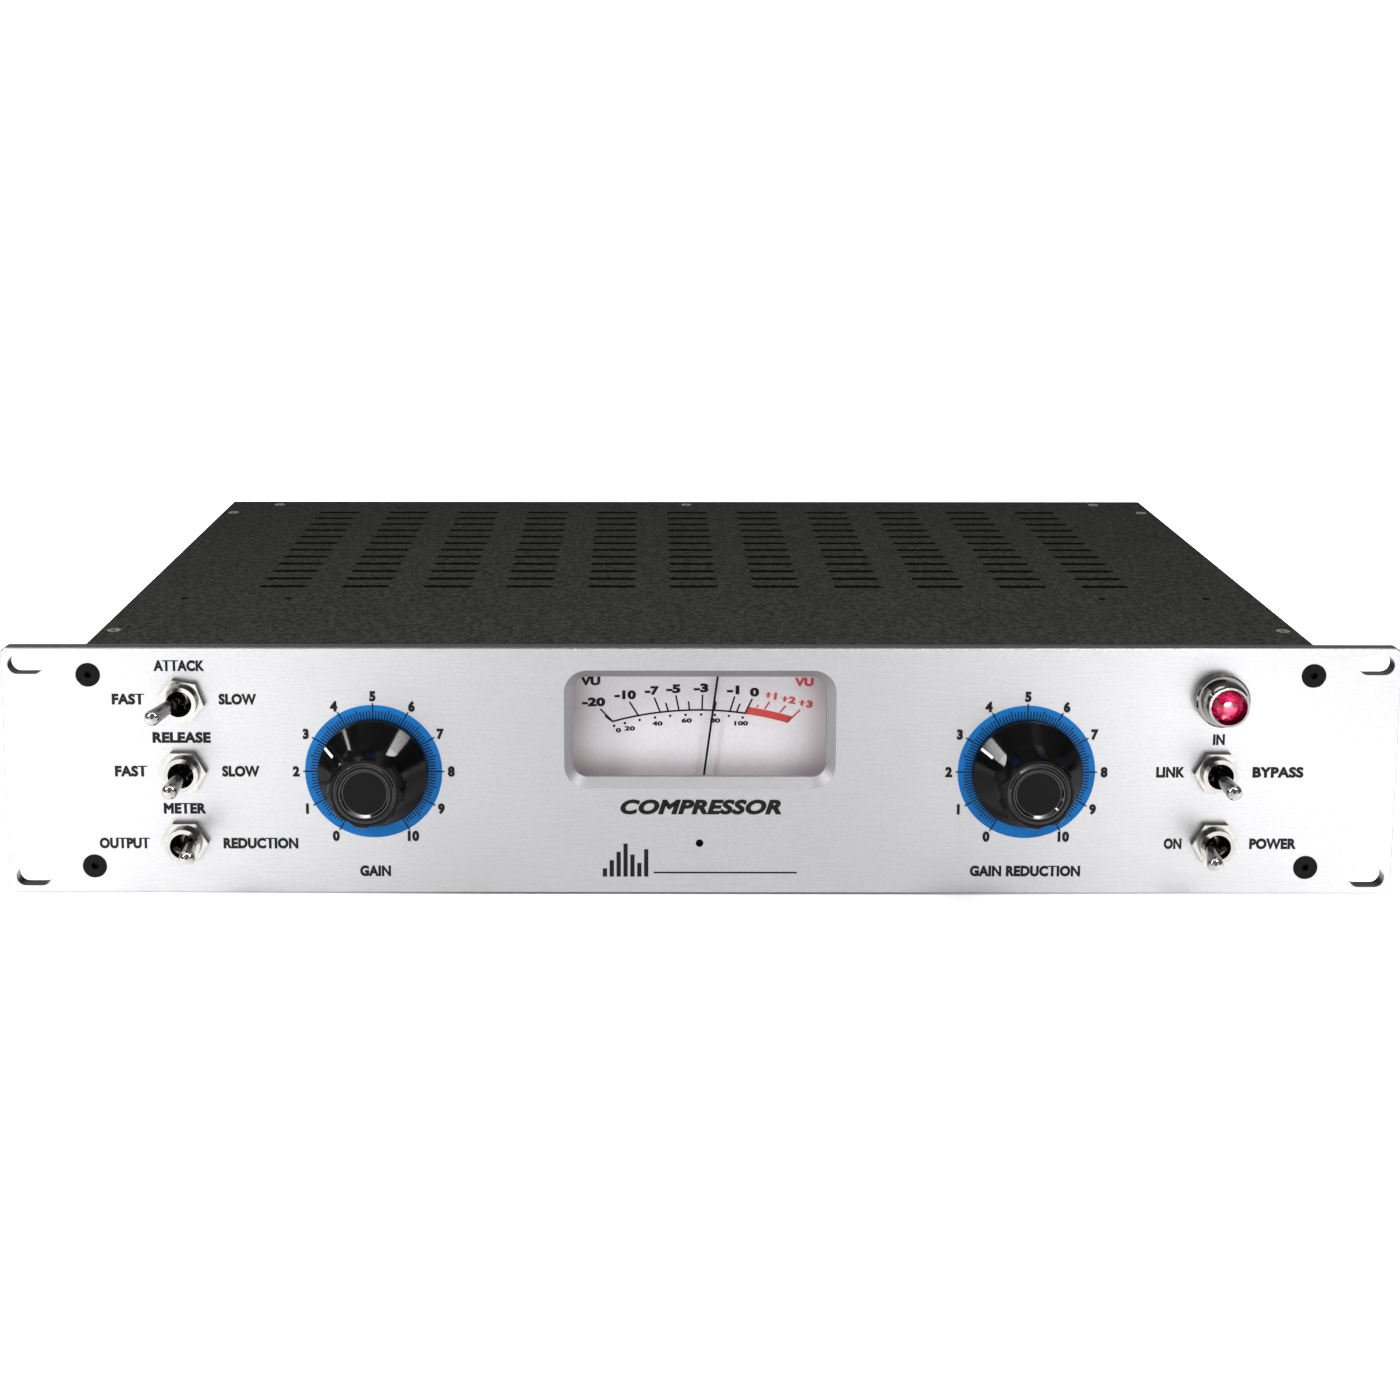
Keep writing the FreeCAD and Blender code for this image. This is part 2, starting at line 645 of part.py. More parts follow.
def make_meter():
    """The meter: a case with a clear lens, a lit dial plate and a moving-coil movement."""
    height = "(meter_case_top - meter_case_bottom)"
    centre = "((meter_case_top + meter_case_bottom) / 2)"
    outer = block("meter_outer", 0, 0, centre, "meter_case_width", "meter_case_depth", height)
    inner = block("meter_inner", 0, -1, centre, "meter_case_width - 2 * meter_wall",
                  "meter_case_depth - meter_wall + 1", f"{height} - 2 * meter_wall")
    ears = [block(f"meter_ear_{side}", f"{side} * (meter_case_width / 2 + 4.9)", 0, 0,
                  10, 3, "2 * meter_stud_z + 12") for side in SIDES]
    bores = [rod(f"meter_ear_bore_{side}_{level}", f"{side} * meter_stud_x", -1, f"{level} * meter_stud_z",
                 "meter_stud_dia + 0.3", 5) for side in SIDES for level in SIDES]
    housing = cut("meter_housing", fuse("meter_shell", outer, *ears), inner, *bores)
    sub_part(housing, "meter_housing")

    lens = block("meter_lens", 0, 0.1, centre, "meter_case_width - 2 * meter_wall - 0.4",
                 "meter_lens", f"{height} - 2 * meter_wall - 0.4")
    lens_hole = rod("lens_hole", 0, -1, "zero_screw_z", "zero_screw_dia + 0.3", 5)
    sub_part(cut("meter_window", lens, lens_hole), "meter_window")

    plate = block("meter_dial", 0, "meter_plate_y", "(meter_case_top - 2.3 + meter_pivot_z + 6) / 2",
                  "meter_case_width - 2 * meter_wall - 0.6", "meter_plate_thick",
                  "meter_case_top - 2.3 - meter_pivot_z - 6")
    sub_part(plate, "meter_scale_plate")

    magnet = rod("magnet", 0, 12, "meter_pivot_z", 20, 15)
    magnet_bore = rod("magnet_bore", 0, 11, "meter_pivot_z", 14.6, 13)
    core = rod("magnet_core", 0, 15, "meter_pivot_z", 8, 12)
    bridge = block("bridge", 0, 27, "meter_pivot_z", 34, "meter_case_depth - meter_wall - 27", 14)
    ring = cut("magnet_ring", magnet, magnet_bore)
    pivot_bore = rod("pivot_bore", 0, 11, "meter_pivot_z", 1.8, 14)
    movement = cut("movement", fuse("movement_solid", ring, core, bridge), pivot_bore)
    sub_part(movement, "meter_movement")

    hub = rod("needle_hub", 0, 4.4, "meter_pivot_z", 3.4, 1.8)
    pivot = rod("needle_pivot", 0, 4.4, "meter_pivot_z", 1.4, 18.5)
    arm = place(make("Box", "needle_arm", Length=0.76, Width=0.35, Height="needle_length"),
                x=-0.38, y=4.9, z="meter_pivot_z")
    tail = place(make("Box", "needle_tail", Length=1.6, Width=0.6, Height=6), x=-0.8, y=4.8,
                 z="meter_pivot_z - 6")
    coil_out = rod("coil_outside", 0, 13, "meter_pivot_z", 13.4, 9)
    coil_in = rod("coil_inside", 0, 13.6, "meter_pivot_z", 10.6, 9)
    coil = cut("moving_coil", coil_out, coil_in)
    needle = fuse("needle_upright", hub, pivot, arm, tail, coil)
    leaned = doc.addObject("Part::Compound", "needle_leaned")
    leaned.Links = [needle]
    lean_radians = "needle_tilt * pi / 180"
    place(leaned, x=f"-meter_pivot_z * sin({lean_radians} * 1rad)",
          z=f"meter_pivot_z * (1 - cos({lean_radians} * 1rad))", turn="needle_tilt")
    sub_part(leaned, "meter_needle")

    screw = rod("zero_stem", 0, -3.4, "zero_screw_z", "zero_screw_dia", 7.2)
    collar = rod("zero_collar", 0, 2.5, "zero_screw_z", 4, 1.2)
    slot = block("zero_slot", 0, -3.5, "zero_screw_z", 0.5, 0.8, 3)
    sub_part(cut("zero_screw", fuse("zero_solid", screw, collar), slot), "meter_zero_screw")

    nut = hex_nut("meter_nut", 5.5, 2.4, "meter_stud_dia + 0.1")
    places = [{"x": f"{side} * meter_stud_x", "y": 5.4, "z": f"{level} * meter_stud_z"}
              for side in SIDES for level in SIDES]
    sub_part(group("meter_nuts", nut, places), "meter_nuts")


# ---------------------------------------------------------------- dials

def make_pot(side, name):
    """A rotary control: bushing through the panel, round case, three solder lugs."""
    body = new_body(name)
    bore = "(shaft_dia / 2 + shaft_gap)"
    front = "-(panel_thick + 5.2)"
    turned(body, [
        (front, bore), (front, "pot_bushing_dia / 2"), (0.05, "pot_bushing_dia / 2"),
        (0.05, "pot_dia / 2"), ("pot_depth", "pot_dia / 2"), ("pot_depth", 0),
        ("pot_depth - 1.4", 0), ("pot_depth - 1.4", "pot_dia / 2 - 1.5"),
        (2.6, "pot_dia / 2 - 1.5"), (2.6, bore),
    ])
    lugs = new_sketch(body, "XZ_Plane", -8)
    for x in (-5, 0, 5):
        draw_rectangle(lugs, x, "-pot_dia / 2 - 2.5", 2, 7)
    pad(body, lugs, 0.8)
    place(body, x=f"{side} * dial_x")
    sub_part(body, name)


def make_knob(side, name):
    """A knob with a fluted grip on a flared skirt that carries the pointer line."""
    body = new_body(name)
    grip = "(knob_grip_dia / 2)"
    rim = "(knob_dia / 2)"
    turned(body, [
        (-3, 0), (-3, grip), ("-(knob_height - 1.1)", f"{grip} - 0.4"),
        ("-(knob_height - 0.4)", f"{grip} - 0.8"), ("-knob_height", f"{grip} - 1.6"),
        ("-knob_height", 10.2), ("-(knob_height + 0.7)", 9.7), ("-(knob_height + 0.7)", 8.3),
        ("-(knob_height - 0.2)", 7.6), ("-(knob_height - 0.2)", 0),
    ])
    flute = new_sketch(body, "XZ_Plane", 3)
    draw_circle(flute, 0, "flute_centre", "2 * flute_radius")
    scoop = pocket(body, flute, "knob_height", reverse=True)
    flutes = body.newObject("PartDesign::PolarPattern", name + "_flutes")
    flutes.Originals = [scoop]
    flutes.Axis = (flute, ["N_Axis"])
    flutes.Angle = 360
    bind(flutes, Occurrences="knob_flutes")
    body.Tip = flutes
    doc.recompute()
    turned(body, [
        (0, 0), (0, f"{rim} - 0.4"), (-0.4, rim), (-2, rim), (-2.5, f"{rim} - 0.3"),
        (-10.6, "flute_centre - flute_radius - 0.3"), (-10.6, 0),
    ])
    turned(body, [
        (0, 0), (0, 17.2), (-1.2, 17.2), (-1.2, 9.2), (-7.4, 9.2),
        (-7.4, "shaft_dia / 2 + 0.02"), (-16.5, "shaft_dia / 2 + 0.02"), (-16.5, 0),
    ], "Groove")
    screw_hole = new_sketch(body, "XY_Plane")
    draw_circle(screw_hole, 0, -9.6, 3.2)
    pocket(body, screw_hole, 25)
    place(body, x=f"{side} * dial_x", y="-(panel_thick + knob_gap)", turn="knob_rest")
    sub_part(body, name)


def make_shaft(side, name):
    """The control's shaft with its wiper disc, held in the knob."""
    stem = rod(name + "_stem", 0, "-(panel_thick + knob_gap + 16)", 0, "shaft_dia",
               "panel_thick + knob_gap + 16 + 6.4")
    wiper = rod(name + "_wiper", 0, 5, 0, 18, 1.6)
    shaft = fuse(name + "_solid", stem, wiper)
    sub_part(place(shaft, x=f"{side} * dial_x"), name)


def make_set_screw(side, name):
    """The grub screw that holds the knob on its shaft."""
    screw = make("Cylinder", name + "_screw", Radius=1.5, Height=7)
    place(screw, y=-9.6, z="-shaft_dia / 2 - 7.05")
    socket = place(make("Prism", name + "_socket", Circumradius=0.85, Height=2), y=-9.6,
                   z="-shaft_dia / 2 - 7.1")
    grub = cut(name + "_solid", screw, socket)
    sub_part(place(grub, x=f"{side} * dial_x", y="-(panel_thick + knob_gap)", turn="knob_rest"), name)


def make_dials():
    for side, name in ((-1, "gain"), (1, "reduction")):
        make_pot(side, name + "_pot")
        make_shaft(side, name + "_pot_shaft")
        make_knob(side, name + "_knob")
        make_set_screw(side, name + "_set_screw")


# ---------------------------------------------------------------- toggles

def make_switch(name, x, z, twist):
    """A toggle switch: threaded bushing, insulating case and six solder lugs."""
    body = new_body(name)
    case = new_sketch(body, "XZ_Plane", "-switch_case_y")
    draw_rectangle(case, 0, 0, "switch_case_width", "switch_case_height")
    pad(body, case, "switch_case_depth", reverse=True)
    tube = new_sketch(body, "XZ_Plane", "-switch_case_y")
    draw_circle(tube, 0, 0, "switch_bushing_dia")
    pad(body, tube, "switch_case_y + panel_thick + switch_bushing_out")
    mouth = "-(panel_thick + switch_bushing_out)"
    seat = "(lever_ball + 0.35)"
    turned(body, [
        (mouth, 0), (mouth, 4.5), (f"{mouth} + 0.6", 4.3), (-4, seat), (3.4, seat), (3.4, 5.4),
        ("lever_tail + 3", 5.4), ("lever_tail + 3", 0),
    ], "Groove")
    lugs = new_sketch(body, "XZ_Plane", "-(switch_case_y + switch_case_depth)")
    for column in (-9, 0, 9):
        for row in (-4.5, 4.5):
            draw_rectangle(lugs, column, row, 0.8, 4)
    pad(body, lugs, 6, reverse=True)
    sub_part(place(body, x=x, z=z, turn=twist), name)


def make_lever(name, x, z, twist, lean):
    """A bat lever: round tip, slim neck, pivot ball and a tail that works the contacts."""
    tip = place(make("Sphere", name + "_tip", Radius="lever_tip"), y="-lever_reach")
    swell = make("Cone", name + "_swell", Radius1="lever_neck", Radius2="lever_bat", Height=4.5)
    place(swell, y=-8, turn=90, axis=(1, 0, 0))
    bat = make("Cone", name + "_bat", Radius1="lever_bat", Radius2="lever_tip * 0.985",
               Height="lever_reach - 12.9")
    place(bat, y=-12.4, turn=90, axis=(1, 0, 0))
    neck = rod(name + "_neck", 0, -8.1, 0, "2 * lever_neck", 8.1)
    ball = make("Sphere", name + "_ball", Radius="lever_ball")
    pin = post(name + "_pin", 0, 0, "-lever_ball - 0.2", 1.6, "2 * lever_ball + 0.4")
    tail = rod(name + "_tail", 0, 0, 0, 2.6, "lever_tail")
    straight = fuse(name + "_straight", tip, bat, swell, neck, ball, pin, tail)
    leaned = doc.addObject("Part::Compound", name + "_leaned")
    leaned.Links = [straight]
    place(leaned, turn=f"{lean} * switch_throw", axis=(0, 0, 1))
    fitted = doc.addObject("Part::Compound", name)
    fitted.Links = [leaned]
    sub_part(place(fitted, x=x, y="lever_pivot_y", z=z, turn=twist), name)


def make_toggles():
    for name, (x, z, twist, lean) in SWITCHES.items():
        make_switch(name + "_switch", x, z, twist)
        make_lever(name + "_lever", x, z, twist, lean)


def make_panel_nuts():
    """The nuts that hold the toggles, before and behind the panel, and the two controls."""
    front = "-panel_thick - 0.05"
    switch_places = []
    for name, (x, z, _, _) in SWITCHES.items():
        turn = ATTACK_NUT_TURN if name == "attack" else 0
        switch_places += [{"x": x, "z": z, "y": y, "turn": turn} for y in (front, "switch_case_y - 0.05")]
    switch_nut = hex_nut("switch_nut", "switch_nut_flats", "switch_nut_thick", "switch_bushing_dia + 0.1")
    pot_nut = hex_nut("pot_nut", "pot_nut_flats", "pot_nut_thick", "pot_bushing_dia + 0.1")
    pot_places = [{"x": f"{side} * dial_x", "y": front} for side in SIDES]
    nuts = doc.addObject("Part::Compound", "nuts")
    nuts.Links = [group("switch_nuts", switch_nut, switch_places), group("pot_nuts", pot_nut, pot_places)]
    sub_part(nuts, "panel_nuts")


# ---------------------------------------------------------------- pilot lamp

def make_lamp():
    """A stepped bezel with a faceted jewel, screwed to the lamp holder behind the panel."""
    body = new_body("lamp_bezel")
    face = "-(panel_thick + 0.05)"
    rim = "-(panel_thick + lamp_out)"
    turned(body, [
        (face, "lamp_thread / 2"), (face, "lamp_dia / 2"), (f"{face} - 3.4", "lamp_dia / 2"),
        (f"{face} - 3.9", "lamp_dia / 2 - 0.5"), (f"{face} - 4", "lamp_dia / 2 - 1.5"),
        (f"{face} - 6.6", "lamp_dia / 2 - 1.5"), (f"{face} - 7.1", "jewel_dia / 2 + 0.8"),
        (rim, "jewel_dia / 2 + 0.8"), (rim, "jewel_dia / 2 + 0.1"),
        (f"{face} - 4.5", "jewel_dia / 2 + 0.1"), (f"{face} - 4.5", 5), (12, 5), (12, "lamp_thread / 2"),
    ])
    sub_part(place(body, x="lamp_x", z="lamp_z"), "lamp_bezel")

    jewel = new_body("lamp_jewel")
    crown = new_sketch(jewel, "XZ_Plane", "panel_thick + 4.6")
    draw_circle(crown, 0, 0, "jewel_dia")
    pad(jewel, crown, "lamp_out - 5.4")
    chamfer(jewel, lambda point: point.y < -size("panel_thick + 6"), 1.6)
    sub_part(place(jewel, x="lamp_x", z="lamp_z"), "lamp_jewel")

    shell = fuse("lamp_shell", rod("lamp_flange", 0, 0.05, 0, 17, 3), rod("lamp_barrel", 0, 3, 0, 15, 25))
    bore = fuse("lamp_bores", rod("lamp_front_bore", 0, -1, 0, "lamp_thread + 0.1", 14),
                rod("lamp_back_bore", 0, 12, 0, 10.6, 14))
    sub_part(place(cut("lamp_socket", shell, bore), x="lamp_x", z="lamp_z"), "lamp_holder")

    glass = fuse("pilot_glass", rod("pilot_body", 0, 2, 0, 7, 14),
                 place(make("Sphere", "pilot_dome", Radius=3.5), y=2))
    cap = rod("pilot_cap", 0, 16, 0, 9, 9.9)
    pilot = place(fuse("pilot_bulb", glass, cap), x="lamp_x", z="lamp_z")
    meter_bulbs = [block(f"meter_bulb_{side}", f"{side} * 36", 14, 20, 6, 6, 12) for side in SIDES]
    bulbs = doc.addObject("Part::Compound", "bulbs")
    bulbs.Links = [pilot] + meter_bulbs
    sub_part(bulbs, "bulbs")


# ---------------------------------------------------------------- rear connectors

def connector_screw_places():
    """Diagonal pairs on the audio connectors, level pairs on the mains inlet and selector."""
    places = [(f"{x} + {side} * xlr_screw_x", f"-{side} * xlr_screw_z")
              for x in ("xlr_in_x", "xlr_out_x") for side in SIDES]
    places += [(f"mains_x + {side} * mains_screw_x", 0) for side in SIDES]
    return places + [(f"selector_x + {side} * selector_screw_x", 0) for side in SIDES]


def flange_holes(name, x, reach_x, reach_z=0):
    """The two screw holes of a flange, on a diagonal if reach_z isn't zero."""
    return [rod(f"{name}_{side}", f"{x} + {side} * {reach_x}", "case_depth - 1", f"-{side} * {reach_z}",
                "flange_hole", "flange_thick + 2") for side in SIDES]


def xlr_shell(name, x, floor_depth):
    """A square flange with a round socket; floor_depth is how far in the socket's floor lies."""
    flange = block(name + "_flange", x, "case_depth", 0, "xlr_width", "flange_thick", "xlr_height")
    barrel = rod(name + "_barrel", x, "case_depth - 22", 0, "xlr_barrel", 23)
    bore = rod(name + "_bore", x, f"case_depth + flange_thick - {floor_depth}", 0, "xlr_bore",
               floor_depth + 1)
    screws = flange_holes(name + "_screw_hole", x, "xlr_screw_x", "xlr_screw_z")
    return fuse(name + "_solid", flange, barrel), [bore] + screws


def contact_ring(name, x, y, dia, length):
    """Three round contacts of an audio connector."""
    contacts = []
    for number, angle in enumerate((60, 180, 300)):
        across = f"{math.sin(math.radians(angle))} * xlr_contact_ring"
        up = f"{math.cos(math.radians(angle))} * xlr_contact_ring"
        contacts.append(rod(f"{name}_{number}", f"{x} + {across}", y, up, dia, length))
    return contacts


def make_audio_connectors():
    """A latching input, an output with three pins and a jack for linking two units."""
    solid, tools = xlr_shell("input_shell", "xlr_in_x", 17)
    recess = block("latch_recess", "xlr_in_x", "case_depth - 5", LATCH_Z, "latch_width + 1.2", 9,
                   "latch_high + 1")
    sub_part(cut("xlr_input_shell", solid, *tools, recess), "xlr_input")
    insert = rod("input_insert", "xlr_in_x", "case_depth + flange_thick - 17", 0, 15.4, 15.5)
    sockets = contact_ring("input_socket", "xlr_in_x", "case_depth - 12", 2.9, 14)
    sub_part(cut("socket_insert", insert, *sockets), "xlr_insert")
    tab = block("latch_tab", "xlr_in_x", "case_depth - 1.8", LATCH_Z, "latch_width", 5.8, "latch_high")
    sub_part(tab, "xlr_latch")

    solid, tools = xlr_shell("output_shell", "xlr_out_x", 14)
    sub_part(cut("xlr_output_shell", solid, *tools), "xlr_output")

    bushing = rod("jack_bushing", "jack_x", "case_depth - 4", 0, "jack_bushing_dia", 9)
    case = block("jack_case", "jack_x", "case_depth - 30", 0, 16, 27.9, 16)
    nut = place(hex_nut("jack_nut", 12.7, 2.4, 9), x="jack_x", y="case_depth + 2.5")
    bore = rod("jack_hole", "jack_x", "case_depth - 27", 0, "jack_bore", 40)
    sub_part(cut("jack", fuse("jack_solid", bushing, case, nut), bore), "link_jack")


def make_mains_inlet():
    """A three-blade inlet; its contacts share a node with the audio output's pins."""
    flange = block("inlet_flange", "mains_x", "case_depth", 0, 50, "flange_thick", 25)
    box = block("inlet_box", "mains_x", "case_depth - 17", 0, "mains_width", 18, "mains_high")
    recess = block("inlet_recess", "mains_x", "case_depth - 14", 0, "mains_width - 2 * mains_wall", 20,
                   "mains_high - 2 * mains_wall")
    holes = flange_holes("inlet_screw_hole", "mains_x", "mains_screw_x")
    sub_part(cut("inlet", fuse("inlet_solid", flange, box), recess, *holes), "mains_inlet")

    blades = [block(f"mains_blade_{number}", f"mains_x + {across}", "case_depth - 14", up, 2, 13, 4)
              for number, (across, up) in enumerate(((-7, 3), (7, 3), (0, 6.4)))]
    contacts = doc.addObject("Part::Compound", "contacts")
    contacts.Links = contact_ring("output_pin", "xlr_out_x", "case_depth - 12", 2.4, 12.5) + blades
    sub_part(contacts, "connector_pins")


def make_fuse_holder():
    """A tube with a ribbed cap that carries the fuse."""
    barrel = fuse("fuse_solid", rod("fuse_flange", "fuse_x", "case_depth", 0, 16.5, "flange_thick"),
                  rod("fuse_barrel", "fuse_x", "case_depth - 34", 0, "fuse_barrel_dia", 35))
    bore = rod("fuse_tube_bore", "fuse_x", "case_depth - 32", 0, "fuse_bore", 40)
    sub_part(cut("fuse_tube", barrel, bore), "fuse_holder")

    cap_y = "case_depth + flange_thick + 0.3"
    grip = rod("cap_grip", "fuse_x", cap_y, 0, 14, 7)
    plug = rod("cap_plug", "fuse_x", "case_depth - 6", 0, "fuse_bore - 0.15", 9)
    link = rod("cap_fuse", "fuse_x", "case_depth - 27", 0, 5, 21.1)
    slot = block("cap_slot", "fuse_x", f"{cap_y} + 5.9", 0, 1.4, 2, 10)
    ribs = [place(make("Box", f"cap_rib_{number}", Length=1, Width=6.4, Height=7.5), x="fuse_x",
                  y=cap_y, turn=number * 22.5) for number in range(16)]
    sub_part(cut("cap", fuse("cap_solid", grip, plug, link, *ribs), slot), "fuse_cap")


def make_voltage_selector():
    """A framed slide switch with a slot for a screwdriver in its slider."""
    frame = fuse("selector_solid",
                 block("selector_flange", "selector_x", "case_depth", 0, 38, "flange_thick", 18),
                 block("selector_case", "selector_x", "case_depth - 16", 0, "selector_width", 17,
                       "selector_high"))
    track = block("selector_track", "selector_x", "case_depth - 5", 0, 19, 8, 8)
    holes = flange_holes("selector_screw_hole", "selector_x", "selector_screw_x")
    sub_part(cut("selector", frame, track, *holes), "voltage_selector")
    slider = cut("slider", block("slider_block", "selector_x - 4.5", "case_depth - 4.8", 0, 9, 6, 7.4),
                 block("slider_groove", "selector_x - 4.5", "case_depth + 0.4", 0, 1.2, 2, 5))
    sub_part(slider, "voltage_slider")


# ---------------------------------------------------------------- inside

def make_power_transformer():
    """A toroidal transformer clamped to the floor by a disc and a bolt."""
    floor = f"-{INNER_TOP}"
    ring_radius = "(toroid_dia / 2 - toroid_height / 2 + 5)"
    coil = post("toroid_outside", "toroid_x", "toroid_y", f"{floor} + 1", "toroid_dia", "toroid_height")
    eye = post("toroid_eye", "toroid_x", "toroid_y", f"{floor} - 1", f"2 * {ring_radius} - 40",
               "toroid_height + 4")
    sharp = cut("toroid_sharp", coil, eye)
    doc.recompute()
    rounded = doc.addObject("Part::Fillet", "toroid_round")
    rounded.Base = sharp
    rims = [number for number, edge in enumerate(sharp.Shape.Edges, start=1) if len(edge.Vertexes) == 1]
    rounded.Edges = [(number, 6.0, 6.0) for number in rims]
    sub_part(rounded, "power_transformer")

    pad_disc = post("toroid_pad", "toroid_x", "toroid_y", floor, 40, 0.9)
    disc = post("toroid_disc", "toroid_x", "toroid_y", f"{floor} + toroid_height + 1.1", 62, 2.5)
    bolt = post("toroid_bolt", "toroid_x", "toroid_y", floor, 6, "toroid_height + 9")
    head = place(make("Prism", "toroid_nut", Circumradius=5.8, Height=4), x="toroid_x", y="toroid_y",
                 z=f"{floor} + toroid_height + 3.6")
    sub_part(fuse("toroid_clamp", pad_disc, disc, bolt, head), "transformer_clamp")


def board_top():
    return f"(-{INNER_TOP} + board_lift + board_thick)"


def make_board():
    """The circuit board on its standoffs, with everything that it carries."""
    corners = [(f"board_x + {side} * (board_width / 2 - 6)", f"board_y + {end} * (board_depth / 2 - 6)")
               for side in SIDES for end in SIDES]
    board = make("Box", "board", Length="board_width", Width="board_depth", Height="board_thick")
    place(board, x="board_x - board_width / 2", y="board_y - board_depth / 2",
          z=f"-{INNER_TOP} + board_lift")
    holes = [post(f"board_hole_{number}", x, y, f"-{INNER_TOP}", 3.4, 20)
             for number, (x, y) in enumerate(corners)]
    cell = make("Box", "optical_cell", Length=26, Width=52, Height=22)
    place(cell, x=-86, y=86, z=board_top())
    sub_part(fuse("main_board_solid", cut("main_board_cut", board, *holes), cell), "main_board")

    spacer = post("spacer", 0, 0, 0, 6, "board_lift")
    stem = post("spacer_screw", 0, 0, 0, 3, "board_lift + board_thick + 1")
    top = post("spacer_head", 0, 0, "board_lift + board_thick", 5.5, 1.8)
    standoff = fuse("standoff", spacer, stem, top)
    places = [{"x": x, "y": y, "z": f"-{INNER_TOP}"} for x, y in corners]
    sub_part(group("board_standoffs", standoff, places), "board_standoffs")

    def on_board(points):
        return [{"x": x, "y": y, "z": board_top()} for x, y in points]

    tube_points = [(x, 175) for x in (-150, -105, -60)]
    socket = cut("socket", post("socket_body", 0, 0, 0, 24, 8), post("socket_eye", 0, 0, -1, 6, 12))
    glass = fuse("tube", post("tube_glass", 0, 0, 8, "tube_dia", "tube_height - 11"),
                 place(make("Sphere", "tube_dome", Radius="tube_dia / 2"), z="tube_height - 3"))
    sub_part(group("tube_sockets", socket, on_board(tube_points)), "tube_sockets")
    sub_part(group("tubes", glass, on_board(tube_points)), "tubes")

    can = fuse("can", post("can_body", 0, 0, 0, 30, 40), post("can_rim", 0, 0, 0, 33, 3))
    sub_part(group("audio_transformers", can, on_board([(-155, 120), (-110, 120)])), "audio_transformers")

    capacitor = post("capacitor", 0, 0, 0, 25, 42)
    banks = on_board([(x, y) for x in (10, 42) for y in (115, 150, 185)])
    sub_part(group("filter_capacitors", capacitor, banks), "filter_capacitors")


# ---------------------------------------------------------------- build and write

def build_all():
    make_front_panel()
    make_side_rail(-1, "side_rail_left")
    make_side_rail(1, "side_rail_right")
    make_cover(1, "top_cover", VENT_ROWS)
    make_cover(-1, "bottom_cover", BOTTOM_VENT_ROWS)
    make_rear_panel()
    make_screws()
    make_meter()
    make_dials()
    make_toggles()
    make_panel_nuts()
    make_lamp()
    make_audio_connectors()
    make_mains_inlet()
    make_fuse_holder()
    make_voltage_selector()
    make_power_transformer()
    make_board()


def check_all():
    """Stop if any object failed, or any piece has no sound solid."""
    for thing in doc.Objects:
        if {"Invalid", "Error"} & set(thing.State):
            raise ValueError(f"{thing.Label} failed: {thing.State}")
    for piece in sub_parts:
        if piece.Shape.isNull() or not piece.Shape.isValid() or not piece.Shape.Solids:
            raise ValueError(f"{piece.Label} has no valid shape")


def write_all():
    os.makedirs("parts", exist_ok=True)
    for piece in sub_parts:
        piece.Shape.exportStep(f"parts/{piece.Label}.step")


build_all()
doc.recompute()
check_all()
write_all()
print(len(sub_parts), "sub-parts written")
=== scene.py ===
"""Looks of the rack compressor: materials, printed markings, dial faces, lamp jewel and studio."""
import json
import math

import bmesh
import bpy
from mathutils import Matrix, Vector


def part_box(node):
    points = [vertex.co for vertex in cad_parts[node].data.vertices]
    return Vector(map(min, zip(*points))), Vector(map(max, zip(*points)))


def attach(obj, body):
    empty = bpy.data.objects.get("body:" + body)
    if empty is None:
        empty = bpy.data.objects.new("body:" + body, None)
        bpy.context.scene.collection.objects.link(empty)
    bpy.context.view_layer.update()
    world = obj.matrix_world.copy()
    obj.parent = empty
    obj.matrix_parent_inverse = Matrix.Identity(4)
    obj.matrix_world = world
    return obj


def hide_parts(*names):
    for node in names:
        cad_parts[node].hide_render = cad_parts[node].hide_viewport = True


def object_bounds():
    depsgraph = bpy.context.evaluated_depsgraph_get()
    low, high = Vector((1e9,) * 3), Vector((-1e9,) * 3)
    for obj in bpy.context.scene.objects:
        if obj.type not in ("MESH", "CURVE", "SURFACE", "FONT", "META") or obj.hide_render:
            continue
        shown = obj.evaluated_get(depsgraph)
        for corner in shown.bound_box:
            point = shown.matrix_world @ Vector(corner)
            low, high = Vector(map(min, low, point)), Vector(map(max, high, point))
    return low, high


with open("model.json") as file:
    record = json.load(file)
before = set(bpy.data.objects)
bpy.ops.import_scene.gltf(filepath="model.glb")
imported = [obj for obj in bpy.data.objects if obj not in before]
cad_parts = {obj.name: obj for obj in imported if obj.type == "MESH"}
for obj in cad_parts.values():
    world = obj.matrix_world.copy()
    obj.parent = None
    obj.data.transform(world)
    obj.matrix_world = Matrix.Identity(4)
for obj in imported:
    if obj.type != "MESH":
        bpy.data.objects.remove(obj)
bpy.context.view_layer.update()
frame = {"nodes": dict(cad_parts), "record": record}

MM = 0.001
NODES = frame["nodes"]
SLOT_OF = {row["node"]: row["material_slot"] for row in frame["record"]["subparts"]}
# The panel's faces along Y, and the covers' outer face along Z.
FACE_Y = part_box("front_panel")[0][1]
PANEL_BACK = 0.0
COVER_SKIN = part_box("top_cover")[1][2]

# The meter window in the panel, and the width of the bevel milled round it.
WINDOW_WIDE = 88 * MM
WINDOW_Z = (-2.9 * MM, 33.1 * MM)
WINDOW_CORNER = 5 * MM
BEVEL = 2.8 * MM


def centre_of(node):
    """The middle of a node's box, as (x, z)."""
    low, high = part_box(node)
    return (low[0] + high[0]) / 2, (low[2] + high[2]) / 2


